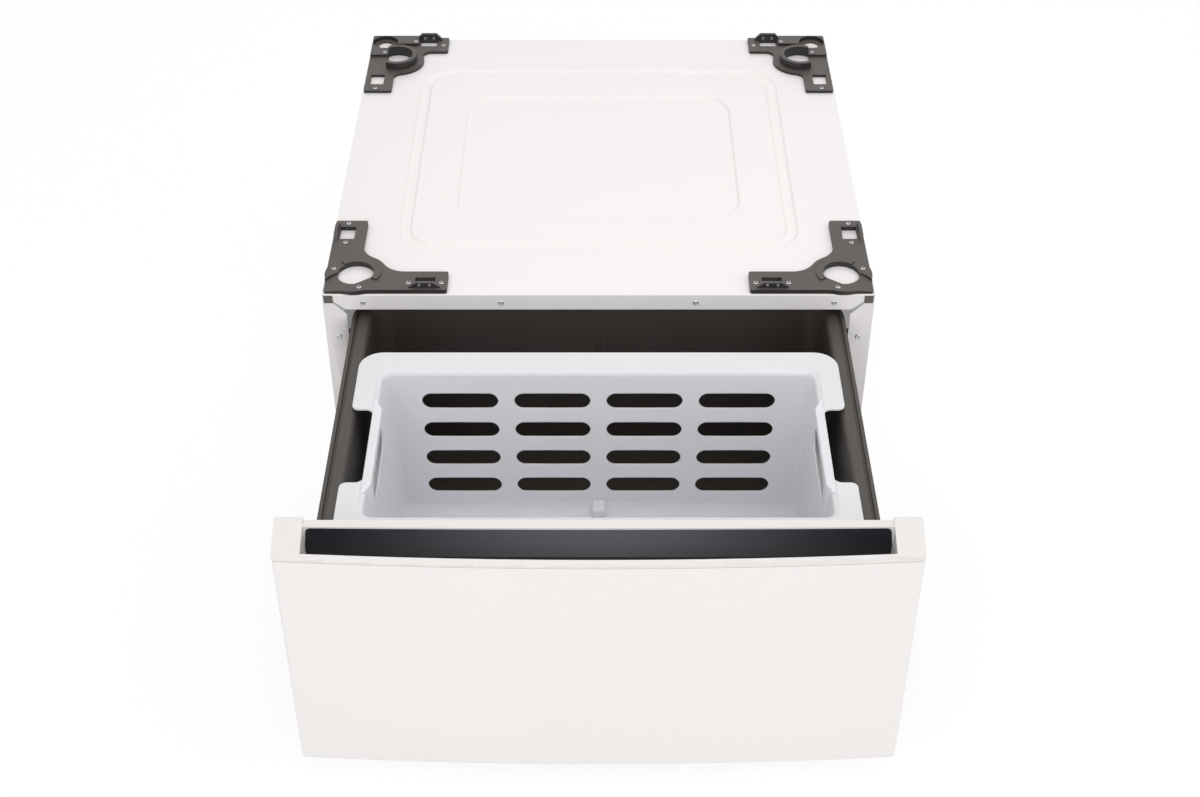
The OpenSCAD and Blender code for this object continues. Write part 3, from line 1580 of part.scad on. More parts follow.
top_panel();
side_panel_left();
side_panel_right();
rear_panel();
front_top_rail();
front_base_rail();
rear_base_rail();
corner_post_fl();
corner_post_fr();
corner_post_rl();
corner_post_rr();
corner_plate_fl();
corner_plate_fr();
corner_plate_rl();
corner_plate_rr();
corner_plugs();
corner_plate_screws();
cabinet_screws();
foot_bracket_fl();
foot_bracket_fr();
foot_bracket_rl();
foot_bracket_rr();
lock_nuts();
foot_stud_fl();
foot_stud_fr();
foot_stud_rl();
foot_stud_rr();
foot_pad_fl();
foot_pad_fr();
foot_pad_rl();
foot_pad_rr();
slide_support_left();
slide_support_right();
slide_rivets();
slide_outer_left();
slide_outer_right();
slide_mid_left();
slide_mid_right();
slide_inner_left();
slide_inner_right();
outer_ball_cage_left();
outer_ball_cage_right();
inner_ball_cage_left();
inner_ball_cage_right();
outer_balls_left();
outer_balls_right();
inner_balls_left();
inner_balls_right();
drawer_tub();
drawer_front_skin();
drawer_inner_panel();
handle_trim();
handle_strip();
tub_screws();
drawer_slide_screws();
drawer_bumpers();
laundry_basket();
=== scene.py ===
"""Washer pedestal drawer: the looks that dress the packed frame."""

import logging
import math
from dataclasses import dataclass, field
from enum import Enum
from typing import Callable, Iterable, Sequence

import bmesh
import bpy
from mathutils import Matrix, Vector


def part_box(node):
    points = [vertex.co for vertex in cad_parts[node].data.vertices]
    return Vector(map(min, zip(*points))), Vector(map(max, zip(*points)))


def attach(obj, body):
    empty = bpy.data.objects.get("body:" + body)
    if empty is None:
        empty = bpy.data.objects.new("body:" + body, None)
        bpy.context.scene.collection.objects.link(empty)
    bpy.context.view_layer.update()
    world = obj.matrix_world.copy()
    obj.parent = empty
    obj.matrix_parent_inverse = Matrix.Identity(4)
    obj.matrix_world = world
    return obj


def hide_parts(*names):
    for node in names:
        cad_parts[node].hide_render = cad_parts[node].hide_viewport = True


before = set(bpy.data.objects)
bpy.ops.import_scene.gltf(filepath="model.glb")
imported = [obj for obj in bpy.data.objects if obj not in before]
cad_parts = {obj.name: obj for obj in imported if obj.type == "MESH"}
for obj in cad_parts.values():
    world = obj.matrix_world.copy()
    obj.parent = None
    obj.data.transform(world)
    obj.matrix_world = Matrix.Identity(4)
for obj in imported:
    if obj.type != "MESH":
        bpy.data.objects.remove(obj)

log = logging.getLogger("pedestal")

MM = 0.001
DRAWER_OPEN = 410.0

# The pieces' shared places, in millimetres: the screws between the tub and the drawer front, across and up.
TUB_SCREWS = [(side * x, z) for side in (-1, 1) for x in (96.0, 240.0) for z in (105, 273)]
# The corner plates' screws: in from the cabinet's side, in from its end, and the seat over the top.
FRONT_PLATE_SCREWS = [(18.3, 149.5, 6), (18.5, 106, 6), (10.5, 48, 6), (46, 8, 6), (106.5, 17, 6), (147.5, 17, 6)]
REAR_PLATE_SCREWS = [(67.5, 20, 8), (23.5, 53, 8), (109, 26, 4.5), (18.5, 155, 4.5)]

# Linear colours of the shader groups: a pale default, the drift's darkest and the shade's darkest.
PALE = (0.8, 0.8, 0.8, 1.0)
DRIFT_DARK = (0.02, 0.018, 0.016, 1.0)
SHADE_DARK = (0.004, 0.004, 0.004, 1.0)
BUMP_STRENGTH = 0.6

Point = tuple[float, float, float]
Flat = tuple[float, float]
Colour = tuple[float, float, float]


def linear(colour: Colour) -> tuple[float, float, float, float]:
    """Turn a display colour into the linear one that shaders use.

    Args:
        colour: Red, green and blue from 0 to 1, as they look on a screen.

    Returns:
        The linear red, green and blue, with an alpha of one.
    """
    parts = [c / 12.92 if c <= 0.04045 else ((c + 0.055) / 1.055) ** 2.4 for c in colour]
    return (parts[0], parts[1], parts[2], 1.0)


def quarter(steps: int) -> list[float]:
    """The angles from nought to a right angle in equal steps, in radians."""
    return [math.radians(90 * i / steps) for i in range(steps + 1)]


class Side(Enum):
    """The two sides of the pedestal."""

    LEFT = -1
    RIGHT = 1


class Corner(Enum):
    """The four corners: side and end, front being -1."""

    FL = (-1, -1)
    FR = (1, -1)
    RL = (-1, 1)
    RR = (1, 1)

    @property
    def key(self) -> str:
        """The corner's two letters, as the CAD nodes write them."""
        return self.name.lower()


class Slot(Enum):
    """Material slots of the packed record."""

    WHITE_PAINT = "white_paint"
    WHITE_PLASTIC = "white_plastic"
    DARK_PLASTIC = "dark_plastic"
    TUB = "tub_plastic"
    BASKET = "basket_plastic"
    GLOSS = "gloss_dark_plastic"
    BLACK_PAINT = "black_paint"
    ZINC = "zinc_steel"
    SCREW = "screw_steel"
    BEARING = "bearing_steel"
    RUBBER = "rubber"


# ---------------------------------------------------------------- modelling bench


@dataclass(frozen=True)
class Ring:
    """One round-cornered loop of a loft, in millimetres.

    Attributes:
        half: Half its width in X.
        front: Its front edge in Y.
        rear: Its rear edge in Y.
        z: Its height.
        front_r: Radius of its two front corners.
        rear_r: Radius of its two rear corners.
    """

    half: float
    front: float
    rear: float
    z: float
    front_r: float
    rear_r: float

    def inset(self, by: float, z: float, least: float = 0.6) -> "Ring":
        """Draw the same loop further in.

        Args:
            by: How far in, in millimetres.
            z: The new loop's height.
            least: The smallest corner radius.

        Returns:
            The new loop.
        """
        return Ring(self.half - by, self.front + by, self.rear - by, z,
                    max(least, self.front_r - by), max(least, self.rear_r - by))


class Bench:
    """Modelling steps that the sub-assemblies share, done with Blender's own operators."""

    @staticmethod
    def rest() -> None:
        """Leave edit mode and deselect everything."""
        active = bpy.context.view_layer.objects.active
        if active is not None and active.mode != "OBJECT":
            bpy.ops.object.mode_set(mode="OBJECT")
        bpy.ops.object.select_all(action="DESELECT")

    @staticmethod
    def pick(*pieces: bpy.types.Object) -> None:
        """Select these pieces only, and make the last one active."""
        Bench.rest()
        for piece in pieces:
            piece.select_set(True)
        bpy.context.view_layer.objects.active = pieces[-1]

    @staticmethod
    def begin(name: str) -> bpy.types.Object:
        """Start an empty piece at the origin and enter its edit mode.

        Args:
            name: The piece's name.

        Returns:
            The new object, in edit mode, with vertices as the select mode.
        """
        Bench.rest()
        bpy.ops.mesh.primitive_plane_add(size=1, location=(0, 0, 0))
        piece = bpy.context.object
        piece.name = name
        piece.data.name = name
        bpy.ops.object.mode_set(mode="EDIT")
        bpy.ops.mesh.select_mode(type="VERT")
        bpy.ops.mesh.select_all(action="SELECT")
        bpy.ops.mesh.delete(type="VERT")
        return piece

    @staticmethod
    def select(piece: bpy.types.Object, verts: Callable[[bmesh.types.BMVert], bool] | None = None,
               edges: Callable[[bmesh.types.BMEdge], bool] | None = None,
               faces: Callable[[bmesh.types.BMFace], bool] | None = None) -> None:
        """Select the visible parts of a mesh that pass one test.

        Args:
            piece: The object in edit mode.
            verts: A test of vertices.
            edges: A test of edges.
            faces: A test of faces.
        """
        kind = "VERT" if verts else "EDGE" if edges else "FACE"
        bpy.ops.mesh.select_mode(type=kind)
        bpy.ops.mesh.select_all(action="DESELECT")
        mesh = bmesh.from_edit_mesh(piece.data)
        group = mesh.verts if verts else mesh.edges if edges else mesh.faces
        test = verts or edges or faces
        for part in group:
            if not part.hide and test(part):
                part.select = True
        mesh.select_flush_mode()
        bmesh.update_edit_mesh(piece.data)

    @staticmethod
    def first_ring(piece: bpy.types.Object, ring: Ring, arc: int) -> None:
        """Shape a plane into the loft's first loop, and note each vertex's corner and turn.

        Args:
            piece: The object in edit mode.
            ring: The loop's sizes.
            arc: Segments in each corner.
        """
        middle = (ring.front + ring.rear) / 2 * MM
        centre = (0.0, middle, ring.z * MM)
        bpy.ops.mesh.primitive_plane_add(size=1, location=centre)
        bpy.ops.transform.resize(value=(2 * ring.half * MM, (ring.rear - ring.front) * MM, 1),
                                 center_override=centre)
        for radius, sign in ((ring.front_r, -1), (ring.rear_r, 1)):
            Bench.select(piece, verts=lambda v, s=sign, m=middle: (v.co.y - m) * s > 0)
            bpy.ops.mesh.bevel(offset_type="OFFSET", offset=radius * MM, segments=arc, profile=0.5,
                               affect="VERTICES", clamp_overlap=False)
        mesh = bmesh.from_edit_mesh(piece.data)
        side, end = mesh.verts.layers.int.new("side"), mesh.verts.layers.int.new("end")
        angle = mesh.verts.layers.float.new("angle")
        for vert in mesh.verts:
            vert[side] = 1 if vert.co.x > 0 else -1
            vert[end] = 1 if vert.co.y > middle else -1
            radius, edge = (ring.rear_r, ring.rear) if vert[end] > 0 else (ring.front_r, ring.front)
            across = abs(vert.co.x) / MM - (ring.half - radius)
            along = vert[end] * (vert.co.y / MM - edge) + radius
            vert[angle] = math.atan2(max(0.0, along), max(0.0, across))
        bmesh.update_edit_mesh(piece.data)

    @staticmethod
    def next_ring(piece: bpy.types.Object, ring: Ring) -> None:
        """Extrude the selected loop, and set the new one to its sizes.

        Args:
            piece: The object in edit mode, with the last loop's edges selected.
            ring: The new loop's sizes.
        """
        bpy.ops.mesh.extrude_edges_move()
        mesh = bmesh.from_edit_mesh(piece.data)
        layers = mesh.verts.layers
        side, end, angle = layers.int["side"], layers.int["end"], layers.float["angle"]
        for vert in mesh.verts:
            if vert.select:
                radius, edge = (ring.rear_r, ring.rear) if vert[end] > 0 else (ring.front_r, ring.front)
                vert.co = Vector((vert[side] * (ring.half - radius + radius * math.cos(vert[angle])),
                                  edge - vert[end] * (radius - radius * math.sin(vert[angle])), ring.z)) * MM
        bmesh.update_edit_mesh(piece.data)

    @staticmethod
    def loft(name: str, rings: Sequence[Ring], arc: int = 6, first: bool = False,
             last: bool = False) -> bpy.types.Object:
        """Raise one skin through a row of loops.

        Args:
            name: The piece's name.
            rings: The loops, in order.
            arc: Segments in each corner.
            first: Whether a face closes the first loop.
            last: Whether a face closes the last loop.

        Returns:
            The object, still in edit mode.
        """
        piece = Bench.begin(name)
        Bench.first_ring(piece, rings[0], arc)
        if not first:
            bpy.ops.mesh.select_all(action="SELECT")
            bpy.ops.mesh.delete(type="ONLY_FACE")
        bpy.ops.mesh.select_mode(type="EDGE")
        bpy.ops.mesh.select_all(action="SELECT")
        for ring in rings[1:]:
            Bench.next_ring(piece, ring)
        if last:
            bpy.ops.mesh.edge_face_add()
        bpy.ops.mesh.select_all(action="SELECT")
        bpy.ops.mesh.normals_make_consistent(inside=False)
        return piece

    @staticmethod
    def aim(piece: bpy.types.Object, towards: Point) -> None:
        """Make an open skin's faces consistent, with their sum pointing one way.

        Args:
            piece: The object in edit mode.
            towards: The direction that the skin's outer side faces.
        """
        bpy.ops.mesh.select_all(action="SELECT")
        bpy.ops.mesh.normals_make_consistent(inside=False)
        mesh = bmesh.from_edit_mesh(piece.data)
        total = sum((f.normal * f.calc_area() for f in mesh.faces), Vector())
        if total.dot(Vector(towards)) < 0:
            bpy.ops.mesh.flip_normals()

    @staticmethod
    def start_line(at: Point) -> None:
        """Put one vertex into the piece being edited, selected, at a point in millimetres."""
        bpy.ops.mesh.primitive_plane_add(size=0.001, location=(0, 0, 0))
        bpy.ops.mesh.merge(type="CENTER")
        bpy.ops.transform.translate(value=tuple(c * MM for c in at))

    @staticmethod
    def line(steps: Iterable[Point]) -> None:
        """Extrude the selected vertex or edges by one move after another, in millimetres."""
        for step in steps:
            bpy.ops.mesh.extrude_region_move(TRANSFORM_OT_translate={"value": tuple(c * MM for c in step)})

    @staticmethod
    def draw(points: Sequence[Point]) -> None:
        """Draw a line through points in millimetres, and leave all of it selected."""
        Bench.start_line(points[0])
        Bench.line(tuple(b[i] - a[i] for i in range(3)) for a, b in zip(points, points[1:]))
        bpy.ops.mesh.select_all(action="SELECT")

    @staticmethod
    def bevel(width: float, segments: int) -> None:
        """Round the selected edges by a width in millimetres."""
        bpy.ops.mesh.bevel(offset=width * MM, segments=segments, profile=0.5, affect="EDGES",
                           clamp_overlap=False)

    @staticmethod
    def discard(*pieces: bpy.types.Object) -> None:
        """Throw away tools and patterns that are used up."""
        for piece in pieces:
            bpy.data.objects.remove(piece, do_unlink=True)

    @staticmethod
    def folded(name: str, outline: Sequence[Point], along: Point, fold_r: float, thick: float,
               offset: float = -1.0) -> bpy.types.Object:
        """Fold a sheet: a line of points swept along a straight path, with rounded folds.

        Args:
            name: The piece's name.
            outline: The points of its section, in millimetres.
            along: The sweep, in millimetres.
            fold_r: Radius of the folds.
            thick: Thickness of the sheet.
            offset: Which side of the line the sheet lies on, from -1 to 1.

        Returns:
            The finished sheet, in object mode.
        """
        piece = Bench.begin(name)
        Bench.draw(outline)
        Bench.line([along])
        if len(outline) > 2:
            Bench.select(piece, edges=lambda e: len(e.link_faces) == 2
                         and e.calc_face_angle(0.0) > math.radians(20))
            Bench.bevel(fold_r, 4)
        Bench.thicken(piece, thick, offset)
        return piece

    @staticmethod
    def modifier(piece: bpy.types.Object, kind: str, **settings: object) -> None:
        """Add one modifier, set it and apply it.

        Args:
            piece: The object to change.
            kind: Blender's name for the modifier's type.
            settings: The modifier's own values.
        """
        Bench.pick(piece)
        added = piece.modifiers.new(kind.lower(), kind)
        for key, value in settings.items():
            setattr(added, key, value)
        bpy.ops.object.modifier_apply(modifier=added.name)

    @staticmethod
    def thicken(piece: bpy.types.Object, thick: float, offset: float = -1.0) -> None:
        """Give an open skin its wall, in millimetres."""
        Bench.modifier(piece, "SOLIDIFY", thickness=thick * MM, offset=offset, use_even_offset=True)

    @staticmethod
    def merge(piece: bpy.types.Object, flat: float = 0.0) -> None:
        """Weld a mesh's loose corners, and clear the edges that cross its flat faces.

        Args:
            piece: The object to weld.
            flat: The angle in degrees under which an edge counts as flat; 0 clears none.
        """
        Bench.pick(piece)
        bpy.ops.object.mode_set(mode="EDIT")
        bpy.ops.mesh.select_all(action="SELECT")
        bpy.ops.mesh.remove_doubles(threshold=0.00001)
        if flat:
            bpy.ops.mesh.dissolve_limited(angle_limit=math.radians(flat))
        bpy.ops.object.mode_set(mode="OBJECT")

    @staticmethod
    def cut(piece: bpy.types.Object, tool: bpy.types.Object, operation: str = "DIFFERENCE") -> None:
        """Take a tool's solid out of a piece, or join it to the piece, and throw the tool away."""
        Bench.modifier(piece, "BOOLEAN", operation=operation, solver="EXACT", use_self=True, object=tool)
        Bench.discard(tool)

    @staticmethod
    def join(name: str, parts: Sequence[bpy.types.Object]) -> bpy.types.Object:
        """Join several meshes into one piece.

        Args:
            name: The piece's name.
            parts: The meshes.

        Returns:
            The joined piece.
        """
        Bench.pick(*parts)
        bpy.ops.object.join()
        piece = bpy.context.object
        piece.name = name
        piece.data.name = name
        return piece

    @staticmethod
    def copy(piece: bpy.types.Object, name: str, place: Matrix) -> bpy.types.Object:
        """Copy a piece with its own mesh, and move the mesh.

        Args:
            piece: The piece to copy.
            name: The copy's name.
            place: The move, in metres.

        Returns:
            The copy, at the origin.
        """
        twin = bpy.data.objects.new(name, piece.data.copy())
        twin.data.name = name
        twin.data.transform(place)
        if place.determinant() < 0:
            twin.data.flip_normals()
        bpy.context.scene.collection.objects.link(twin)
        return twin

    @staticmethod
    def from_frame(node: str, name: str, flat: float = 1.0) -> bpy.types.Object:
        """Take a welded copy of a CAD node's mesh as the start of a piece.

        Args:
            node: The CAD node.
            name: The piece's name.
            flat: The angle in degrees under which an edge counts as flat.

        Returns:
            The copy, in object mode.
        """
        piece = Bench.copy(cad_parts[node], name, Matrix.Identity(4))
        piece.data.materials.clear()
        Bench.merge(piece, flat)
        return piece

    @staticmethod
    def softened(node: str, name: str, width: float, segments: int = 2, angle: float = 40.0,
                 flat: float = 1.0) -> bpy.types.Object:
        """Copy a CAD node whose shape is right, and round the copy's edges.

        Args:
            node: The CAD node.
            name: The piece's name.
            width: The rounding's width in millimetres.
            segments: Segments across the rounding.
            angle: The angle in degrees over which an edge is sharp.
            flat: The angle in degrees under which an edge counts as flat.

        Returns:
            The copy, in object mode.
        """
        piece = Bench.from_frame(node, name, flat)
        Bench.round_edges(piece, width, segments, angle)
        return piece

    @staticmethod
    def round_edges(piece: bpy.types.Object, width: float, segments: int = 2, angle: float = 30.0,
                    clamp: bool = True) -> None:
        """Round a piece's sharp edges and set its smooth shading.

        Args:
            piece: The object to finish.
            width: The rounding's width in millimetres; 0 leaves the edges.
            segments: Segments across the rounding.
            angle: The angle in degrees over which an edge is sharp.
            clamp: Whether the rounding stops where edges would cross.
        """
        if width:
            Bench.modifier(piece, "BEVEL", width=width * MM, segments=segments, limit_method="ANGLE",
                           angle_limit=math.radians(angle), use_clamp_overlap=clamp)
        Bench.pick(piece)
        bpy.ops.object.shade_smooth_by_angle(angle=math.radians(max(angle, 35.0)))
        Bench.modifier(piece, "WEIGHTED_NORMAL", keep_sharp=True, weight=60)

    @staticmethod
    def block(name: str, low: Point, high: Point, soft: float = 0.0, segments: int = 3) -> bpy.types.Object:
        """Make a box between two corners, with its edges rounded.

        Args:
            name: The piece's name.
            low: Its lowest corner, in millimetres.
            high: Its highest corner, in millimetres.
            soft: The rounding of all its edges.
            segments: Segments across the rounding.

        Returns:
            The box, in object mode.
        """
        piece = Bench.begin(name)
        middle = tuple((a + b) / 2 * MM for a, b in zip(low, high))
        bpy.ops.mesh.primitive_cube_add(size=1, location=middle)
        bpy.ops.transform.resize(value=tuple((b - a) * MM for a, b in zip(low, high)), center_override=middle)
        if soft:
            Bench.bevel(soft, segments)
        Bench.rest()
        return piece

    @staticmethod
    def slab(name: str, outline: Sequence[Flat], low: float, high: float) -> bpy.types.Object:
        """Raise a closed outline into a solid.

        Args:
            name: The piece's name.
            outline: Its corners in X and Y, in millimetres, once round.
            low: The height of its foot.
            high: The height of its top.

        Returns:
            The solid, in object mode.
        """
        piece = Bench.begin(name)
        Bench.draw([(x, y, low) for x, y in outline])
        bpy.ops.mesh.edge_face_add()
        Bench.line([(0, 0, high - low)])
        bpy.ops.mesh.select_all(action="SELECT")
        bpy.ops.mesh.normals_make_consistent(inside=False)
        Bench.rest()
        return piece

    @staticmethod
    def lathe(name: str, profile: Sequence[Flat], steps: int = 32) -> bpy.types.Object:
        """Turn a profile about the Z axis.

        Args:
            name: The piece's name.
            profile: Radius and height of each point, in millimetres; its ends lie on the axis.
            steps: Facets round the axis.

        Returns:
            The turned piece, in object mode.
        """
        piece = Bench.begin(name)
        Bench.draw([(radius, 0, height) for radius, height in profile])
        bpy.ops.mesh.spin(steps=steps, angle=2 * math.pi, center=(0, 0, 0), axis=(0, 0, 1))
        bpy.ops.mesh.select_all(action="SELECT")
        bpy.ops.mesh.remove_doubles(threshold=0.000005)
        bpy.ops.mesh.normals_make_consistent(inside=False)
        Bench.rest()
        return piece

    @staticmethod
    def move(piece: bpy.types.Object, place: Matrix) -> bpy.types.Object:
        """Move a piece's mesh, in metres, and leave its object at the origin."""
        piece.data.transform(place)
        if place.determinant() < 0:
            piece.data.flip_normals()
        return piece


def shift(x: float = 0.0, y: float = 0.0, z: float = 0.0) -> Matrix:
    """A move by millimetres."""
    return Matrix.Translation(Vector((x, y, z)) * MM)


def turn(degrees: float, axis: str) -> Matrix:
    """A turn about one of the axes through the origin."""
    return Matrix.Rotation(math.radians(degrees), 4, axis)


# ---------------------------------------------------------------- finishes


class Effects:
    """Shader node groups that more than one finish uses, and the wiring that builds them."""

    @staticmethod
    def feed(tree: bpy.types.NodeTree, socket: bpy.types.NodeSocket, value: object) -> None:
        """Link another node's socket to an input, or set the input to a plain value."""
        if isinstance(value, bpy.types.NodeSocket):
            tree.links.new(value, socket)
        else:
            socket.default_value = value

    @staticmethod
    def maths(tree: bpy.types.NodeTree, operation: str, *values: object) -> bpy.types.NodeSocket:
        """Combine values or sockets in one math node, and return the result's socket."""
        node = tree.nodes.new("ShaderNodeMath")
        node.operation = operation
        for socket, value in zip(node.inputs, values):
            Effects.feed(tree, socket, value)
        return node.outputs[0]

    @staticmethod
    def blend(tree: bpy.types.NodeTree, share: object, low: object, high: object) -> bpy.types.NodeSocket:
        """Mix two colours, each a plain value or a socket, and return the result's socket."""
        node = tree.nodes.new("ShaderNodeMix")
        node.data_type = "RGBA"
        for label, value in (("Factor", share), ("A", low), ("B", high)):
            Effects.feed(tree, node.inputs[label], value)
        return node.outputs["Result"]

    @staticmethod
    def span(tree: bpy.types.NodeTree, value: bpy.types.NodeSocket, low: float, high: float,
             to_low: float = 0.0, to_high: float = 1.0) -> bpy.types.NodeSocket:
        """Map a value's range onto another, and return the result's socket."""
        node = tree.nodes.new("ShaderNodeMapRange")
        for socket, number in zip(node.inputs, (value, low, high, to_low, to_high)):
            Effects.feed(tree, socket, number)
        return node.outputs[0]

    @staticmethod
    def spot(tree: bpy.types.NodeTree, label: str = "Object") -> bpy.types.NodeSocket:
        """The surface point's coordinates on its object, or its normal there."""
        return tree.nodes.new("ShaderNodeTexCoord").outputs[label]

    @staticmethod
    def along(tree: bpy.types.NodeTree, label: str) -> dict[str, bpy.types.NodeSocket]:
        """The three axes of the surface point's coordinates or normal, by their letters."""
        split = tree.nodes.new("ShaderNodeSeparateXYZ")
        tree.links.new(Effects.spot(tree, label), split.inputs[0])
        return {axis: split.outputs[axis] for axis in "XYZ"}

    @staticmethod
    def noise(tree: bpy.types.NodeTree, scale: object, detail: float,
              at: bpy.types.NodeSocket | None = None) -> bpy.types.NodeSocket:
        """Add noise on Object coordinates, or on those of a socket, and return its socket."""
        node = tree.nodes.new("ShaderNodeTexNoise")
        node.inputs["Detail"].default_value = detail
        Effects.feed(tree, node.inputs["Scale"], scale)
        tree.links.new(Effects.spot(tree) if at is None else at, node.inputs["Vector"])
        return node.outputs["Fac"]

    @staticmethod
    def _start(name: str, inputs: dict[str, object], outputs: Sequence[str]) -> tuple[
            bpy.types.NodeTree, bpy.types.Node, bpy.types.Node]:
        """Begin a node group with named sockets.

        Args:
            name: The group's name.
            inputs: Name and default of each input, a colour where the default is a tuple.
            outputs: Name of each output, of which only Color is a colour.

        Returns:
            The group, its input node and its output node.
        """
        tree = bpy.data.node_groups.new(name, "ShaderNodeTree")
        for label, default in inputs.items():
            kind = "NodeSocketColor" if isinstance(default, tuple) else "NodeSocketFloat"
            socket = tree.interface.new_socket(name=label, in_out="INPUT", socket_type=kind)
            socket.default_value = default
        for label in outputs:
            kind = "NodeSocketColor" if label == "Color" else "NodeSocketFloat"
            tree.interface.new_socket(name=label, in_out="OUTPUT", socket_type=kind)
        return tree, tree.nodes.new("NodeGroupInput"), tree.nodes.new("NodeGroupOutput")

    @classmethod
    def grain(cls) -> bpy.types.NodeTree:
        """Fine moulded or sprayed grain: its height, and a mask of its hollows."""
        found = bpy.data.node_groups.get("surface_grain")
        if found:
            return found
        tree, start, end = cls._start("surface_grain", {"Scale": 900.0}, ["Height", "Hollows"])
        height = cls.noise(tree, start.outputs["Scale"], 3.0)
        tree.links.new(height, end.inputs["Height"])
        tree.links.new(cls.span(tree, height, 0.62, 0.38), end.inputs["Hollows"])
        return tree

    @classmethod
    def drift(cls) -> bpy.types.NodeTree:
        """Slow change of a colour over a surface."""
        found = bpy.data.node_groups.get("colour_drift")
        if found:
            return found
        tree, start, end = cls._start("colour_drift", {"Color": PALE, "Amount": 0.03, "Scale": 6.0}, ["Color"])
        patches = cls.span(tree, cls.noise(tree, start.outputs["Scale"], 2.0), 0.35, 0.65)
        weight = cls.maths(tree, "MULTIPLY", patches, start.outputs["Amount"])
        tree.links.new(cls.blend(tree, weight, start.outputs["Color"], DRIFT_DARK), end.inputs["Color"])
        return tree

    @classmethod
    def edge_rub(cls) -> bpy.types.NodeTree:
        """Handling marks: edges that are rubbed a little lighter."""
        found = bpy.data.node_groups.get("edge_rub")
        if found:
            return found
        tree, start, end = cls._start(
            "edge_rub", {"Color": PALE, "Rubbed Color": (1.0, 1.0, 1.0, 1.0), "Amount": 0.3}, ["Color"])
        shape = tree.nodes.new("ShaderNodeNewGeometry")
        edges = cls.span(tree, shape.outputs["Pointiness"], 0.5, 0.58)
        broken = cls.span(tree, cls.noise(tree, 140.0, 4.0), 0.4, 0.7, 0.35, 1.0)
        mask = cls.maths(tree, "MULTIPLY", cls.maths(tree, "MULTIPLY", edges, broken), start.outputs["Amount"])
        tree.links.new(cls.blend(tree, mask, start.outputs["Color"], start.outputs["Rubbed Color"]),
                       end.inputs["Color"])
        return tree

    @classmethod
    def upright(cls) -> bpy.types.NodeTree:
        """Paint shade on the faces that don't look up, which take less light than those that do."""
        found = bpy.data.node_groups.get("painted_upright_shade")
        if found:
            return found
        tree, start, end = cls._start("painted_upright_shade", {"Color": PALE, "Amount": 0.0}, ["Color"])
        hanging = cls.span(tree, cls.along(tree, "Normal")["Z"], 0.1, 0.9, 1.0, 0.0)
        weight = cls.maths(tree, "MULTIPLY", hanging, start.outputs["Amount"])
        tree.links.new(cls.blend(tree, weight, start.outputs["Color"], SHADE_DARK), end.inputs["Color"])
        return tree


@dataclass(frozen=True)
class Finish:
    """A surface finish: what every one of them is made from.

    Attributes:
        name: The material's name.
        slot: The record's slot that it stands for; not used in this script.
        colour: Its display colour.
        rough: Its roughness.
        rough_swing: How much the roughness changes in the grain's hollows.
        grain: Scale of its grain.
        relief: Height of its grain in millimetres.
        drift: How much its colour drifts.
        drift_scale: Scale of the drift.
        rub: How much its edges are rubbed.
        rubbed: The display colour of a rubbed edge.
        shade: How much painted shade darkens its upright and hanging faces against those that look up.
    """

    name: str
    slot: Slot
    colour: Colour
    rough: float = 0.5
    rough_swing: float = 0.05
    grain: float = 900.0
    relief: float = 0.02
    drift: float = 0.02
    drift_scale: float = 6.0
    rub: float = 0.0
    rubbed: Colour = (0.7, 0.7, 0.7)
    shade: float = 0.0

    def material(self) -> bpy.types.Material:
        """Build the finish's material once, and return it after that."""
        found = bpy.data.materials.get(self.name)
        if found:
            return found
        made = bpy.data.materials.new(self.name)
        made.use_nodes = True
        tree = made.node_tree
        shader = tree.nodes["Principled BSDF"]
        drift = self._group(tree, Effects.drift(), Color=self.base_colour(tree), Amount=self.drift,
                            Scale=self.drift_scale)
        rub = self._group(tree, Effects.edge_rub(), Color=drift.outputs["Color"], Amount=self.rub)
        rub.inputs["Rubbed Color"].default_value = linear(self.rubbed)
        # Painted shade: faces that don't look up turn darker, by the finish's shade.
        upright = self._group(tree, Effects.upright(), Color=rub.outputs["Color"], Amount=self.shade)
        grain = self._group(tree, Effects.grain(), Scale=self.grain)
        rough = Effects.span(tree, grain.outputs["Hollows"], 0.0, 1.0, self.rough, self.rough + self.rough_swing)
        bump = tree.nodes.new("ShaderNodeBump")
        bump.inputs["Strength"].default_value = BUMP_STRENGTH
        bump.inputs["Distance"].default_value = self.relief * MM
        tree.links.new(self.height(tree, grain.outputs["Height"]), bump.inputs["Height"])
        tree.links.new(upright.outputs["Color"], shader.inputs["Base Color"])
        tree.links.new(rough, shader.inputs["Roughness"])
        tree.links.new(bump.outputs["Normal"], shader.inputs["Normal"])
        for label, value in self.shader_values().items():
            shader.inputs[label].default_value = value
        return made

    @staticmethod
    def _group(tree: bpy.types.NodeTree, group: bpy.types.NodeTree, **values: object) -> bpy.types.Node:
        """Place a node group in a material with its own values or links."""
        node = tree.nodes.new("ShaderNodeGroup")
        node.node_tree = group
        for key, value in values.items():
            Effects.feed(tree, node.inputs[key], value)
        return node

    def base_colour(self, tree: bpy.types.NodeTree) -> object:
        """The colour before drift and wear: a plain value, or a node's socket."""
        return linear(self.colour)

    def height(self, tree: bpy.types.NodeTree, grain: bpy.types.NodeSocket) -> bpy.types.NodeSocket:
        """The height that the bump follows; the grain's own, unless a finish adds to it."""
        return grain

    def shader_values(self) -> dict[str, object]:
        """The shader's inputs that are the same all over the surface."""
        return {"IOR": 1.5}

    def dress(self, piece: bpy.types.Object) -> None:
        """Give a piece this finish wherever it wears none of the palette's yet."""
        own = {finish.name for finish in vars(Palette).values() if isinstance(finish, Finish)}
        material = self.material()
        for index, worn in enumerate(piece.data.materials):
            if worn is None or worn.name not in own:
                piece.data.materials[index] = material
        if not piece.data.materials:
            piece.data.materials.append(material)


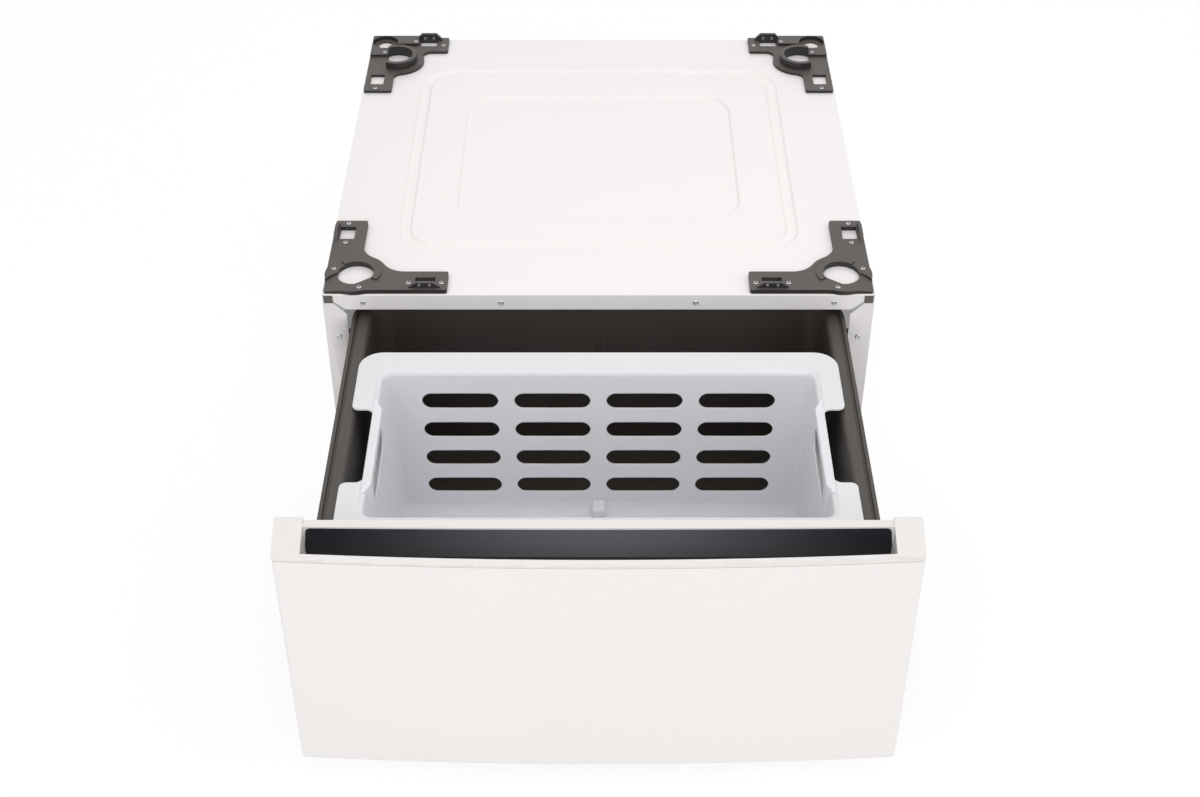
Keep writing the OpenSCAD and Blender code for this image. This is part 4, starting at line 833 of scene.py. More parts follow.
@dataclass(frozen=True)
class BakedPaint(Finish):
    """Sprayed and baked paint on sheet steel, with a faint orange peel under a clear gloss."""

    coat: float = 0.35
    peel: float = 0.35

    def height(self, tree: bpy.types.NodeTree, grain: bpy.types.NodeSocket) -> bpy.types.NodeSocket:
        """Add the slow waves of orange peel to the fine grain."""
        waves = self._group(tree, Effects.grain(), Scale=self.grain / 7)
        return Effects.maths(tree, "MULTIPLY_ADD", grain, self.peel, waves.outputs["Height"])

    def shader_values(self) -> dict[str, object]:
        """The clear gloss."""
        return {"IOR": 1.5, "Coat Weight": self.coat, "Coat Roughness": 0.2}


@dataclass(frozen=True)
class MouldedPlastic(Finish):
    """Injection-moulded plastic with a fine spark-eroded grain."""

    glow: float = 0.0
    specular: float = 0.5

    def shader_values(self) -> dict[str, object]:
        """How much the plastic reflects, and how far light goes into it."""
        values = {"IOR": 1.49, "Specular IOR Level": self.specular}
        if self.glow:
            values |= {"Subsurface Weight": self.glow, "Subsurface Radius": (1.0, 1.0, 1.0),
                       "Subsurface Scale": 0.005}
        return values


@dataclass(frozen=True)
class SmokedGloss(Finish):
    """The handle's dark strip: smoked clear plastic, painted lighter in the middle as a reflection and darker
    along its foot as shade.

    Attributes:
        middle: The display colour of the painted reflection in the middle.
        foot_colour: The display colour of the painted shade along its foot.
        foot: The height where that painted shade begins to end, in millimetres.
        reach: How far the painted reflection reaches from the middle, in metres.
    """

    middle: Colour = (0.392, 0.398, 0.424)
    foot_colour: Colour = (0.15, 0.152, 0.158)
    foot: float = 309.0
    reach: float = 0.31

    def base_colour(self, tree: bpy.types.NodeTree) -> object:
        """Paint a reflection from the dark ends to the lighter middle along X, over painted shade along the foot.
        """
        place_on = Effects.along(tree, "Object")
        # Painted reflection: the ramp lightens the strip from its ends towards its middle.
        ramp = tree.nodes.new("ShaderNodeValToRGB")
        tree.links.new(Effects.span(tree, place_on["X"], -self.reach, self.reach), ramp.inputs[0])
        ramp.color_ramp.interpolation = "EASE"
        for end in ramp.color_ramp.elements:
            end.color = linear(self.colour)
        ramp.color_ramp.elements.new(0.5).color = linear(self.middle)
        # Painted shade: the strip turns darker below the foot's height.
        above = Effects.span(tree, place_on["Z"], self.foot * MM, (self.foot + 1.5) * MM)
        return Effects.blend(tree, above, linear(self.foot_colour), ramp.outputs[0])

    def shader_values(self) -> dict[str, object]:
        """The polished clear layer."""
        return {"IOR": 1.49, "Specular IOR Level": 0.35, "Coat Weight": 0.08, "Coat Roughness": 0.05}


@dataclass(frozen=True)
class PlatedSteel(Finish):
    """Zinc-plated or bright steel, with drawing lines and a slight change of tint."""

    lines: float = 0.5

    def height(self, tree: bpy.types.NodeTree, grain: bpy.types.NodeSocket) -> bpy.types.NodeSocket:
        """Add the drawing lines, long in Y, to the grain."""
        stretch = tree.nodes.new("ShaderNodeMapping")
        stretch.inputs["Scale"].default_value = (1.0, 0.02, 1.0)
        tree.links.new(Effects.spot(tree), stretch.inputs["Vector"])
        drawn = Effects.noise(tree, 1400.0, 2.0, stretch.outputs["Vector"])
        return Effects.maths(tree, "MULTIPLY_ADD", drawn, self.lines, grain)

    def shader_values(self) -> dict[str, object]:
        """What makes it metal."""
        return {"Metallic": 1.0, "Specular IOR Level": 0.5}


class Palette:
    """The finishes of this pedestal."""

    paint = BakedPaint("white_baked_paint", Slot.WHITE_PAINT, (0.950, 0.939, 0.934), rough=0.36,
                       grain=1500.0, relief=0.012, drift=0.006)
    front_paint = BakedPaint("white_front_paint", Slot.WHITE_PAINT, (0.958, 0.946, 0.941), rough=0.36,
                             grain=1500.0, relief=0.012, drift=0.006)
    trim = MouldedPlastic("white_moulded_trim", Slot.WHITE_PLASTIC, (0.908, 0.894, 0.888), rough=0.38,
                          grain=1800.0, relief=0.008, drift=0.006, glow=0.05)
    # The plate's shade paints its upright and hanging faces darker, as shade.
    plate = MouldedPlastic("dark_grained_plate", Slot.DARK_PLASTIC, (0.305, 0.287, 0.276), rough=0.42,
                           rough_swing=0.14, grain=1500.0, relief=0.05, drift=0.05, drift_scale=30.0,
                           shade=0.75)
    plug = MouldedPlastic("dark_corner_plug", Slot.DARK_PLASTIC, (0.37, 0.352, 0.342), rough=0.5,
                          grain=1500.0, relief=0.03)
    tub = MouldedPlastic("brown_grey_tub", Slot.TUB, (0.252, 0.230, 0.214), rough=0.40, rough_swing=0.12,
                         grain=1300.0, relief=0.035, drift=0.08, drift_scale=10.0, rub=0.25,
                         rubbed=(0.40, 0.38, 0.36))
    basket = MouldedPlastic("pale_basket", Slot.BASKET, (0.918, 0.923, 0.938), rough=0.46, grain=1700.0,
                            relief=0.012, drift=0.006, glow=0.7, specular=0.25)
    # The strip paints a reflection in its middle and shade along its foot.
    strip = SmokedGloss("smoked_gloss_strip", Slot.GLOSS, (0.115, 0.125, 0.150), rough=0.10, rough_swing=0.02,
                        grain=500.0, relief=0.002, drift=0.02)
    # Painted shade: the slide supports are painted dark, so the gap behind the side flanges stays dark as shade.
    black = BakedPaint("painted_shade_support_paint", Slot.BLACK_PAINT, (0.105, 0.103, 0.102), rough=0.5, grain=1300.0,
                       relief=0.02, drift=0.05, rub=0.2, rubbed=(0.2, 0.2, 0.2), coat=0.05)
    zinc = PlatedSteel("zinc_plated_steel", Slot.ZINC, (0.74, 0.745, 0.75), rough=0.34, rough_swing=0.12,
                       grain=420.0, relief=0.02, drift=0.10, drift_scale=35.0, rub=0.3,
                       rubbed=(0.86, 0.86, 0.86))
    screw = PlatedSteel("bright_screw_steel", Slot.SCREW, (0.80, 0.80, 0.80), rough=0.26, rough_swing=0.10,
                        grain=1600.0, relief=0.01, drift=0.06, drift_scale=60.0, lines=0.1)
    ball = PlatedSteel("polished_bearing_steel", Slot.BEARING, (0.78, 0.79, 0.80), rough=0.10,
                       rough_swing=0.05, grain=1800.0, relief=0.003, drift=0.04, drift_scale=80.0, lines=0.0)
    rubber = MouldedPlastic("black_foot_rubber", Slot.RUBBER, (0.115, 0.113, 0.112), rough=0.72,
                            rough_swing=0.12, grain=1100.0, relief=0.06, drift=0.15, drift_scale=40.0, rub=0.3,
                            rubbed=(0.24, 0.24, 0.24))
    # Painted shade: a dark lining that fills the plate screws' cross recess, where shade falls.
    recess = PlatedSteel("painted_shade_screw_recess", Slot.SCREW, (0.10, 0.10, 0.10), rough=0.7, relief=0.01, lines=0.0)


def place(piece: bpy.types.Object, finish: Finish, body: str, *nodes: str) -> None:
    """Dress a finished piece, let it ride on its body and stand for its CAD nodes.

    Args:
        piece: The finished piece.
        finish: Its finish.
        body: The body that it rides on.
        nodes: The CAD nodes that it replaces.
    """
    Bench.rest()
    finish.dress(piece)
    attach(piece, body)
    if nodes:
        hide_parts(*nodes)
    log.info("%s rides on %s", piece.name, body)


# ---------------------------------------------------------------- studio


@dataclass(frozen=True)
class Studio:
    """The camera, the pale floor and the plain lamps.

    Attributes:
        lens: Focal length in millimetres on a 36 mm sensor.
        pitch: How far the camera looks down, in degrees.
        back: Its distance in front of the cabinet, in metres.
        height: Its height above the floor, in metres.
        sideways: Its shift, so that the pedestal's middle falls where the photograph has it.
        world_light: Strength of the world's light.
        floor_r: Radius of the floor, in metres.
        floor_glow: Strength of the floor's own white.
        floor_share: How much of the floor that is seen is its own white.
    """

    lens: float = 53.97
    pitch: float = 39.25
    back: float = 1.8064
    height: float = 1.656
    sideways: float = 0.00125
    world_light: float = 0.60
    floor_r: float = 9.0
    floor_glow: float = 1.04
    floor_share: float = 0.84

    def build(self, front_y: float) -> None:
        """Set up the whole studio.

        Args:
            front_y: Where the cabinet's front plane is, in metres.
        """
        self._camera(front_y)
        self._world()
        self._floor()
        self._lamp("overhead_panel", (0.15, -0.1, 2.6), (0.0, 0.0, 0.0), 3.2, 1.95)
        self._lamp("front_panel", (-0.5, -3.0, 1.9), (0.0, 0.0, 0.2), 2.2, 5.2)
        self._lamp("right_panel", (2.6, -0.8, 1.6), (0.0, 0.0, 0.2), 1.8, 3.0)
        self._lamp("rear_panel", (0.1, 2.4, 2.3), (0.0, 0.2, 0.35), 1.4, 2.3)
        scene = bpy.context.scene
        scene.view_settings.view_transform = "Standard"

    def _camera(self, front_y: float) -> None:
        """Place the camera where the photograph was taken from."""
        data = bpy.data.cameras.new("photo_camera")
        data.lens = self.lens
        data.sensor_width = 36.0
        data.shift_x = self.sideways
        data.clip_start = 0.05
        camera = bpy.data.objects.new("photo_camera", data)
        camera.location = (0.0, front_y - self.back, self.height)
        camera.rotation_euler = (math.radians(90.0 - self.pitch), 0.0, 0.0)
        bpy.context.scene.collection.objects.link(camera)
        bpy.context.scene.camera = camera

    @staticmethod
    def _seen(tree: bpy.types.NodeTree) -> bpy.types.NodeSocket:
        """One where a ray comes from the camera, a reflection or clear plastic, and nought elsewhere."""
        path = tree.nodes.new("ShaderNodeLightPath")
        total = path.outputs["Is Camera Ray"]
        for label in ("Is Glossy Ray", "Is Transmission Ray"):
            total = Effects.maths(tree, "MAXIMUM", total, path.outputs[label])
        return total

    @staticmethod
    def _mixed(tree: bpy.types.NodeTree, *sources: bpy.types.NodeSocket) -> bpy.types.NodeSocket:
        """Mix two shaders by a share: the share's socket comes first, then the two shaders'."""
        mix = tree.nodes.new("ShaderNodeMixShader")
        for socket, source in zip(mix.inputs, sources):
            tree.links.new(source, socket)
        return mix.outputs[0]

    def _world(self) -> None:
        """A plain world that lights softly and shows as white."""
        world = bpy.data.worlds.new("white_studio")
        bpy.context.scene.world = world
        world.use_nodes = True
        tree = world.node_tree
        light = tree.nodes["Background"]
        light.inputs["Color"].default_value = (1.0, 0.995, 0.99, 1.0)
        light.inputs["Strength"].default_value = self.world_light
        white = tree.nodes.new("ShaderNodeBackground")
        white.inputs["Color"].default_value = (1.0, 1.0, 1.0, 1.0)
        white.inputs["Strength"].default_value = 1.0
        tree.links.new(self._mixed(tree, self._seen(tree), light.outputs[0], white.outputs[0]),
                       tree.nodes["World Output"].inputs["Surface"])

    def _floor(self) -> None:
        """A wide white floor that keeps a faint shadow of the pedestal."""
        Bench.rest()
        bpy.ops.mesh.primitive_circle_add(vertices=64, radius=self.floor_r, fill_type="NGON", location=(0, 0, 0))
        floor = bpy.context.object
        floor.name = "studio_floor"
        floor.data.transform(Matrix.Translation((0, 0, -0.0004)))
        made = bpy.data.materials.new("white_floor")
        made.use_nodes = True
        tree = made.node_tree
        shader = tree.nodes["Principled BSDF"]
        shader.inputs["Base Color"].default_value = (0.90, 0.90, 0.90, 1.0)
        shader.inputs["Roughness"].default_value = 0.9
        glow = tree.nodes.new("ShaderNodeEmission")
        glow.inputs["Strength"].default_value = self.floor_glow
        share = Effects.maths(tree, "MULTIPLY", self._seen(tree), self.floor_share)
        tree.links.new(self._mixed(tree, share, shader.outputs[0], glow.outputs[0]),
                       tree.nodes["Material Output"].inputs["Surface"])
        floor.data.materials.append(made)

    @staticmethod
    def _lamp(name: str, at: Point, towards: Point, size: float, power: float) -> None:
        """Hang one square soft lamp.

        Args:
            name: The lamp's name.
            at: Its place, in metres.
            towards: The point that it faces.
            size: Its width, in metres.
            power: Its power in watts for each square metre.
        """
        data = bpy.data.lights.new(name, "AREA")
        data.shape = "SQUARE"
        data.size = size
        data.energy = power * size * size
        lamp = bpy.data.objects.new(name, data)
        lamp.location = at
        lamp.rotation_euler = (Vector(towards) - Vector(at)).to_track_quat("-Z", "Y").to_euler()
        bpy.context.scene.collection.objects.link(lamp)


# ---------------------------------------------------------------- cabinet


@dataclass
class CabinetShell:
    """The painted sheet-steel box, in millimetres from the cabinet's front plane and the floor."""

    y: float
    half: float = 343.0
    depth: float = 660.0
    top: float = 346.0
    base: float = 18.0
    sheet: float = 1.0
    fold_r: float = 1.6
    opening_half: float = 314.3
    opening_top: float = 323.4
    emboss: float = 3.0
    emboss_slope: float = 2.6
    ring_w: float = 17.0
    rear_pan_h: float = 190.0
    rear_flange: float = 24.0
    mitre_trim: float = 0.8

    def build(self) -> None:
        """Build and place every sheet of the shell."""
        place(self.top_panel(), Palette.paint, "cabinet", "top_panel")
        right = self.side_panel()
        left = Bench.copy(right, "cabinet_side_left", Matrix.Scale(-1, 4, (1, 0, 0)))
        place(right, Palette.paint, "cabinet", "side_panel_right")
        place(left, Palette.paint, "cabinet", "side_panel_left")
        place(self.rear_panel(), Palette.paint, "cabinet", "rear_panel")
        for node in ("front_top_rail", "front_base_rail", "rear_base_rail"):
            self._bent_steel(node)
        for corner in Corner:
            self._bent_steel(f"corner_post_{corner.key}")
            self._bent_steel(f"foot_bracket_{corner.key}")
        plugs = Bench.softened("corner_plugs", "flange_corner_plugs", 0.25)
        place(plugs, Palette.plug, "cabinet", "corner_plugs")

    def top_panel(self) -> bpy.types.Object:
        """Loft the top with its sunk ring and pan, and fold its mitred front flange.

        Returns:
            The finished sheet.
        """
        ring = Ring(260, 95, 565, self.top, 52, 52)
        pan = Ring(188, 168, 492, self.top, 45, 45)
        floor = self.top - self.emboss
        sheet = Bench.loft("cabinet_top", [
            Ring(self.half, 0, self.depth, self.top, self.mitre_trim, self.mitre_trim), ring,
            ring.inset(self.emboss_slope, floor), ring.inset(self.ring_w - self.emboss_slope, floor),
            ring.inset(self.ring_w, self.top), pan, pan.inset(self.emboss_slope, floor)], arc=12, last=True)
        Bench.select(sheet, edges=lambda e: all(v.co.y < 0.0001 for v in e.verts)
                     and abs(e.verts[0].co.x - e.verts[1].co.x) > 0.3)
        Bench.line([(0, 0, self.opening_top - self.top)])
        narrow = self.opening_half / (self.half - self.mitre_trim)
        bpy.ops.transform.resize(value=(narrow, 1, 1), center_override=(0, 0, self.opening_top * MM))
        Bench.select(sheet, edges=lambda e: all(v.co.y < 0.0001 for v in e.verts)
                     and e.calc_face_angle(0.0) > 1.0)
        Bench.bevel(self.fold_r, 4)
        Bench.select(sheet, edges=lambda e: e.calc_face_angle(0.0) > math.radians(25)
                     and all(v.co.y > 0.05 for v in e.verts))
        Bench.bevel(0.8, 3)
        Bench.aim(sheet, (0, 0, 1))
        Bench.thicken(sheet, self.sheet)
        Bench.round_edges(sheet, 0.25, 2, 50)
        return Bench.move(sheet, shift(y=self.y))

    def side_panel(self) -> bpy.types.Object:
        """Fold the right side with its front, rear and bottom flanges.

        Returns:
            The finished sheet.
        """
        rear = self.depth - self.sheet
        height = self.top - self.sheet - self.base
        sheet = Bench.begin("cabinet_side_right")
        outline = [(self.half - self.rear_flange, rear, self.base), (self.half, rear, self.base),
                   (self.half, 0, self.base), (self.opening_half, 0, self.base)]
        Bench.draw(outline)
        Bench.line([(0, 0, height)])
        Bench.select(sheet, faces=lambda f: f.calc_center_median().y < 0.0001)
        rise = self.top - self.opening_top
        run = self.half - self.opening_half
        bpy.ops.mesh.bisect(plane_co=(self.half * MM, 0, (self.top - self.mitre_trim) * MM),
                            plane_no=(-rise, 0, run), clear_outer=True)
        Bench.select(sheet, edges=lambda e: len(e.link_faces) == 2 and e.calc_face_angle(0.0) > 1.0)
        Bench.bevel(self.fold_r, 4)
        Bench.aim(sheet, (1, 0, 0))
        Bench.rest()
        Bench.thicken(sheet, self.sheet)
        floor = Bench.block("cabinet_side_floor", (self.half - 24, 1.2, self.base),
                            (self.half - 0.6, rear - 1.2, self.base + self.sheet))
        sheet = Bench.join("cabinet_side_right", [floor, sheet])
        Bench.round_edges(sheet, 0.2, 1, 60)
        return Bench.move(sheet, shift(y=self.y))

    def rear_panel(self) -> bpy.types.Object:
        """Loft the rear panel with its sunk pan.

        Returns:
            The finished sheet.
        """
        low = self.base + (self.top - self.sheet - self.base - self.rear_pan_h) / 2
        pan = Ring(240, low, low + self.rear_pan_h, -self.depth, 30, 30)
        sheet = Bench.loft("cabinet_rear", [
            Ring(self.half - self.sheet, self.base, self.top - self.sheet, -self.depth, 0.6, 0.6), pan,
            pan.inset(self.emboss_slope, self.emboss - self.depth)], arc=8, last=True)
        Bench.select(sheet, edges=lambda e: e.calc_face_angle(0.0) > math.radians(25))
        Bench.bevel(self.fold_r, 3)
        Bench.aim(sheet, (0, 0, -1))
        Bench.rest()
        Bench.move(sheet, turn(90, "X"))
        Bench.thicken(sheet, self.sheet)
        Bench.round_edges(sheet, 0.2, 1, 50)
        return Bench.move(sheet, shift(y=self.y))

    @staticmethod
    def _bent_steel(node: str) -> None:
        """Round the edges of a rail, post or bracket that the shell hides."""
        place(Bench.softened(node, f"bent_{node}", 0.35), Palette.zinc, "cabinet", node)


# ---------------------------------------------------------------- corner plates and screws


@dataclass
class CornerPlates:
    """The four plates that hold the washer's feet."""

    edge: float = 0.45

    def build(self) -> None:
        """Round each plate's edges and give it its grain."""
        for corner in Corner:
            node = f"corner_plate_{corner.key}"
            piece = Bench.softened(node, f"foot_plate_{corner.key}", self.edge, angle=35, flat=2.0)
            place(piece, Palette.plate, "cabinet", node)


@dataclass
class ScrewHead:
    """A pan-head screw with a lined cross recess, along +Z with its seat at nought; where the lining is dark, it
    paints shade in the recess.
    """

    name: str
    head_r: float
    head_h: float
    shank_r: float
    length: float
    lining: Finish

    def build(self) -> bpy.types.Object:
        """Turn the head and shank, cut the cross and line it.

        Returns:
            The screw, in object mode.
        """
        r, h, s = self.head_r, self.head_h, self.shank_r
        screw = Bench.lathe(self.name, [
            (0, -self.length), (0.6 * s, -self.length + 0.4), (s, 1.2 - self.length), (s, 0), (0.96 * r, 0),
            (r, 0.12 * h), (r, 0.35 * h), (0.93 * r, 0.62 * h), (0.82 * r, 0.86 * h), (0.66 * r, h),
            (0.56 * r, 0.94 * h), (0.2 * r, 0.3 * h), (0, 0.3 * h)], 24)
        for bar in self._bars(0.72 * r, 0.17 * r, 0.25 * h, 2 * h):
            Bench.cut(screw, bar)
        Bench.round_edges(screw, 0, angle=35)
        cone = Bench.lathe(f"{self.name}_cone", [(0, 0.26 * h), (0.2 * r, 0.26 * h), (0.54 * r, 0.84 * h),
                                                 (0.2 * r, 0.4 * h), (0, 0.4 * h)], 24)
        lining = Bench.join(f"{self.name}_lining", [cone, *self._bars(0.7 * r, 0.16 * r, 0.2 * h, 0.72 * h)])
        Palette.screw.dress(screw)
        self.lining.dress(lining)
        return Bench.join(self.name, [lining, screw])

    def _bars(self, reach: float, half: float, low: float, high: float) -> list[bpy.types.Object]:
        """The cross's two bars, as solids between two heights."""
        return [Bench.move(Bench.block(f"{self.name}_bar_{angle}", (-reach, -half, low), (reach, half, high),
                                       0.3 * half, 1), turn(angle, "Z")) for angle in (0, 90)]


@dataclass
class Screws:
    """Every screw that shows, copied from two patterns."""

    y: float
    drawer_y: float
    half: float = 343.0
    depth: float = 660.0
    top: float = 346.0
    flange_x: tuple[float, ...] = (293, 121)
    flange_z: float = 334.0
    post_x: float = 327.0
    post_z: tuple[float, ...] = (281.3, 205.3)
    base_x: tuple[float, ...] = (-171.5, 0, 171.5)
    base_z: float = 33.0

    def build(self) -> None:
        """Copy the patterns to their places, in a piece for each CAD node."""
        # The plate screws' dark lining paints shade into their cross recess.
        small = ScrewHead("plate_screw_pattern", 3.0, 1.0, 1.6, 11.0, Palette.recess).build()
        large = ScrewHead("cabinet_screw_pattern", 3.6, 1.6, 1.9, 6.0, Palette.screw).build()
        self._set(small, "corner_plate_screw_set", "corner_plate_screws", "cabinet", self._plate_places())
        self._set(large, "cabinet_screw_set", "cabinet_screws", "cabinet", self._cabinet_places())
        self._set(large, "drawer_front_screw_set", "tub_screws", "drawer", self._tub_places())
        Bench.discard(small, large)

    def _plate_places(self) -> list[Matrix]:
        """The seats of the corner plates' screws."""
        places = []
        for corner in Corner:
            side, end = corner.value
            for x, y, seat in FRONT_PLATE_SCREWS if end < 0 else REAR_PLATE_SCREWS:
                along = y if end < 0 else self.depth - y
                places.append(shift(side * (self.half - x), self.y + along, self.top + seat)
                              @ turn(17.0 * x + 31.0 * y, "Z"))
        return places

    def _cabinet_places(self) -> list[Matrix]:
        """The screws of the top's front flange, the posts and the rear panel."""
        forward, backward = turn(90, "X"), turn(-90, "X")
        rear = self.y + self.depth
        places = [shift(side * x, self.y, self.flange_z) @ forward @ turn(23.0 * x * side, "Z")
                  for side in (-1, 1) for x in self.flange_x]
        for side in (-1, 1):
            for z in self.post_z:
                places.append(shift(side * self.post_x, self.y, z) @ forward @ turn(z * side, "Z"))
                places.append(shift(side * self.post_x, rear, z) @ backward @ turn(z * side, "Z"))
        places += [shift(x, rear, self.base_z) @ backward @ turn(x, "Z") for x in self.base_x]
        return places

    def _tub_places(self) -> list[Matrix]:
        """The screws through the tub's front wall, seen from inside the tub."""
        return [shift(x, self.drawer_y + 14, z) @ turn(-90, "X") @ turn(9.0 * z, "Z") for x, z in TUB_SCREWS]

    @staticmethod
    def _set(pattern: bpy.types.Object, name: str, node: str, body: str, places: Sequence[Matrix]) -> None:
        """Join copies of a pattern into the piece that stands for one node."""
        copies = [Bench.copy(pattern, f"{name}_{index}", at) for index, at in enumerate(places)]
        place(Bench.join(name, copies), Palette.screw, body, node)


# ---------------------------------------------------------------- levelling feet


@dataclass
class LevellingFeet:
    """Four threaded studs with hex flanges in rubber pads."""

    y: float
    inset_x: float = 42.0
    inset_y: float = 40.0
    half: float = 343.0
    depth: float = 660.0
    pitch: float = 1.5
    hex_low: float = 7.1
    hex_high: float = 12.7
    stud_top: float = 51.7

    def build(self) -> None:
        """Model one pad and one stud, copy them to the corners, and round a copy of the CAD lock nuts."""
        pad, stud = self._pad(), self._stud()
        for corner in Corner:
            side, end = corner.value
            along = self.inset_y if end < 0 else self.depth - self.inset_y
            at = shift(side * (self.half - self.inset_x), self.y + along)
            place(Bench.copy(pad, f"levelling_pad_{corner.key}", at), Palette.rubber,
                  f"foot_{corner.key}", f"foot_pad_{corner.key}")
            place(Bench.copy(stud, f"levelling_stud_{corner.key}", at), Palette.zinc,
                  f"foot_screw_{corner.key}", f"foot_stud_{corner.key}")
        Bench.discard(pad, stud)
        place(Bench.softened("lock_nuts", "foot_lock_nuts", 0.6), Palette.zinc, "cabinet", "lock_nuts")

    @staticmethod
    def _pad() -> bpy.types.Object:
        """Turn a rubber pad with grip rings underneath."""
        under = [(0.0, 0.7)]
        for r in (4.0, 8.0, 12.0, 16.0):
            under += [(r - 1.0, 0.7), (r - 0.6, 0.0), (r + 0.6, 0.0), (r + 1.0, 0.7)]
        over = [(18.2, 0.7), (18.6, 0.0), (19.3, 0.1), (20.0, 0.9), (20.0, 2.8), (19.4, 3.5), (15.2, 6.3),
                (14.0, 7.0), (11.6, 7.0), (11.3, 6.6), (0.0, 6.6)]
        pad = Bench.lathe("pad_pattern", under + over, 48)
        Bench.round_edges(pad, 0.2, 2, 45)
        return pad

    def _stud(self) -> bpy.types.Object:
        """Model the hex flange, the core and a true helical thread."""
        hexagon = Bench.begin("stud_pattern")
        bpy.ops.mesh.primitive_cylinder_add(
            vertices=6, radius=9.8 * MM, depth=(self.hex_high - self.hex_low) * MM,
            location=(0, 0, (self.hex_low + self.hex_high) / 2 * MM))
        Bench.rest()
        Bench.round_edges(hexagon, 0.7, 3, 30)
        core = Bench.lathe("stud_core", [
            (0, 3.5), (4, 3.5), (4, self.hex_low + 0.5), (4, self.hex_high - 0.5), (4.15, self.hex_high),
            (4.15, self.stud_top - 1), (3.4, self.stud_top), (0, self.stud_top)], 24)
        thread = Bench.begin("stud_thread")
        Bench.start_line((4.1, 0, self.hex_high))
        Bench.line([(0.9, 0, 0.45 * self.pitch), (0, 0, 0.12 * self.pitch), (-0.9, 0, 0.43 * self.pitch)])
        Bench.rest()
        turns = int((self.stud_top - self.hex_high - 1.0) / self.pitch) - 1
        Bench.modifier(thread, "SCREW", screw_offset=self.pitch * MM, iterations=turns, steps=20,
                       use_merge_vertices=True, merge_threshold=0.000002)
        return Bench.join("stud_pattern", [core, thread, hexagon])


# ---------------------------------------------------------------- slides


@dataclass
class BallSlides:
    """Two telescopic slides of three rolled channels, their cages, balls and supports."""

    y: float
    x: float = 288.1
    z: float = 250.0
    gauge: float = 1.2
    travel: float = DRAWER_OPEN

    def build(self) -> None:
        """Roll each channel for the right, and mirror it for the left."""
        outer = self._channel(
            "slide_outer", [(3.4, 20.4), (3.4, 22.85), (12.7, 22.85), (12.7, -22.85), (3.4, -22.85), (3.4, -20.4)],
            front=4, length=450, share=0.0, slots=(36, 120, 225, 330, 414), web=9)
        middle = self._channel(
            "slide_middle", [(1.8, 15.4), (1.8, 17.65), (9.8, 17.65), (9.8, -17.65), (1.8, -17.65), (1.8, -15.4)],
            front=6, length=440, share=0.5, slots=(60, 220, 380), web=8)
        inner = self._channel("slide_inner", [(6.9, 12.85), (0, 12.85), (0, -12.85), (6.9, -12.85)],
                              front=0, length=450, share=1.0, slots=(90, 160, 300, 370), web=1)
        for side in Side:
            self._hang(outer, side, "cabinet", f"slide_outer_{side.name.lower()}")
            self._hang(middle, side, f"slide_mid_{side.name.lower()}_body", f"slide_mid_{side.name.lower()}")
            self._hang(inner, side, "drawer", f"slide_inner_{side.name.lower()}")
            support = f"slide_support_{side.name.lower()}"
            # The supports' dark paint stands in for the shade in the gap behind the side flanges.
            place(Bench.softened(support, f"bent_{support}", 0.3), Palette.black, "cabinet", support)
        Bench.discard(outer, middle, inner)

    def _channel(self, name: str, outline: Sequence[Flat], front: float, length: float,
                 share: float, slots: Sequence[float], web: float) -> bpy.types.Object:
        """Roll one channel, with rounded bends and long holes in its web.

        Args:
            name: The pattern's name.
            outline: Its section's points, across and up from the slide's own axis.
            front: Where its front end is with the drawer closed.
            length: Its length.
            share: Its share of the drawer's travel.
            slots: Distances of the holes' middles from its front end.
            web: Where the web is across the slide.

        Returns:
            The channel on the right, in object mode.
        """
        start = self.y + front - share * self.travel
        points = [(self.x + u, start, self.z + w) for u, w in outline]
        channel = Bench.folded(name, points, (0, length, 0), 1.3, self.gauge, self._inward(outline))
        for number, middle in enumerate(slots):
            hole = Bench.begin(f"{name}_hole_{number}")
            bpy.ops.mesh.primitive_cylinder_add(vertices=24, radius=2.6 * MM, depth=8 * MM,
                                                location=((self.x + web) * MM, 0, self.z * MM),
                                                rotation=(0, math.radians(90), 0))
            Bench.select(hole, verts=lambda v: v.co.y > 0.00001)
            bpy.ops.transform.translate(value=(0, 7 * MM, 0))
            Bench.rest()
            Bench.move(hole, shift(y=start + middle - 3.5))
            Bench.cut(channel, hole)
        Bench.round_edges(channel, 0.2, 1, 45)
        return channel

    @staticmethod
    def _inward(outline: Sequence[Flat]) -> float:
        """The solidify side that puts the wall inside the channel's outline."""
        return 1.0 if outline[0][0] > outline[1][0] else -1.0

    @staticmethod
    def _hang(pattern: bpy.types.Object, side: Side, body: str, node: str) -> None:
        """Copy a channel to one side."""
        piece = Bench.copy(pattern, f"rolled_{node}", Matrix.Scale(side.value, 4, (1, 0, 0)))
        place(piece, Palette.zinc, body, node)


# ---------------------------------------------------------------- drawer front


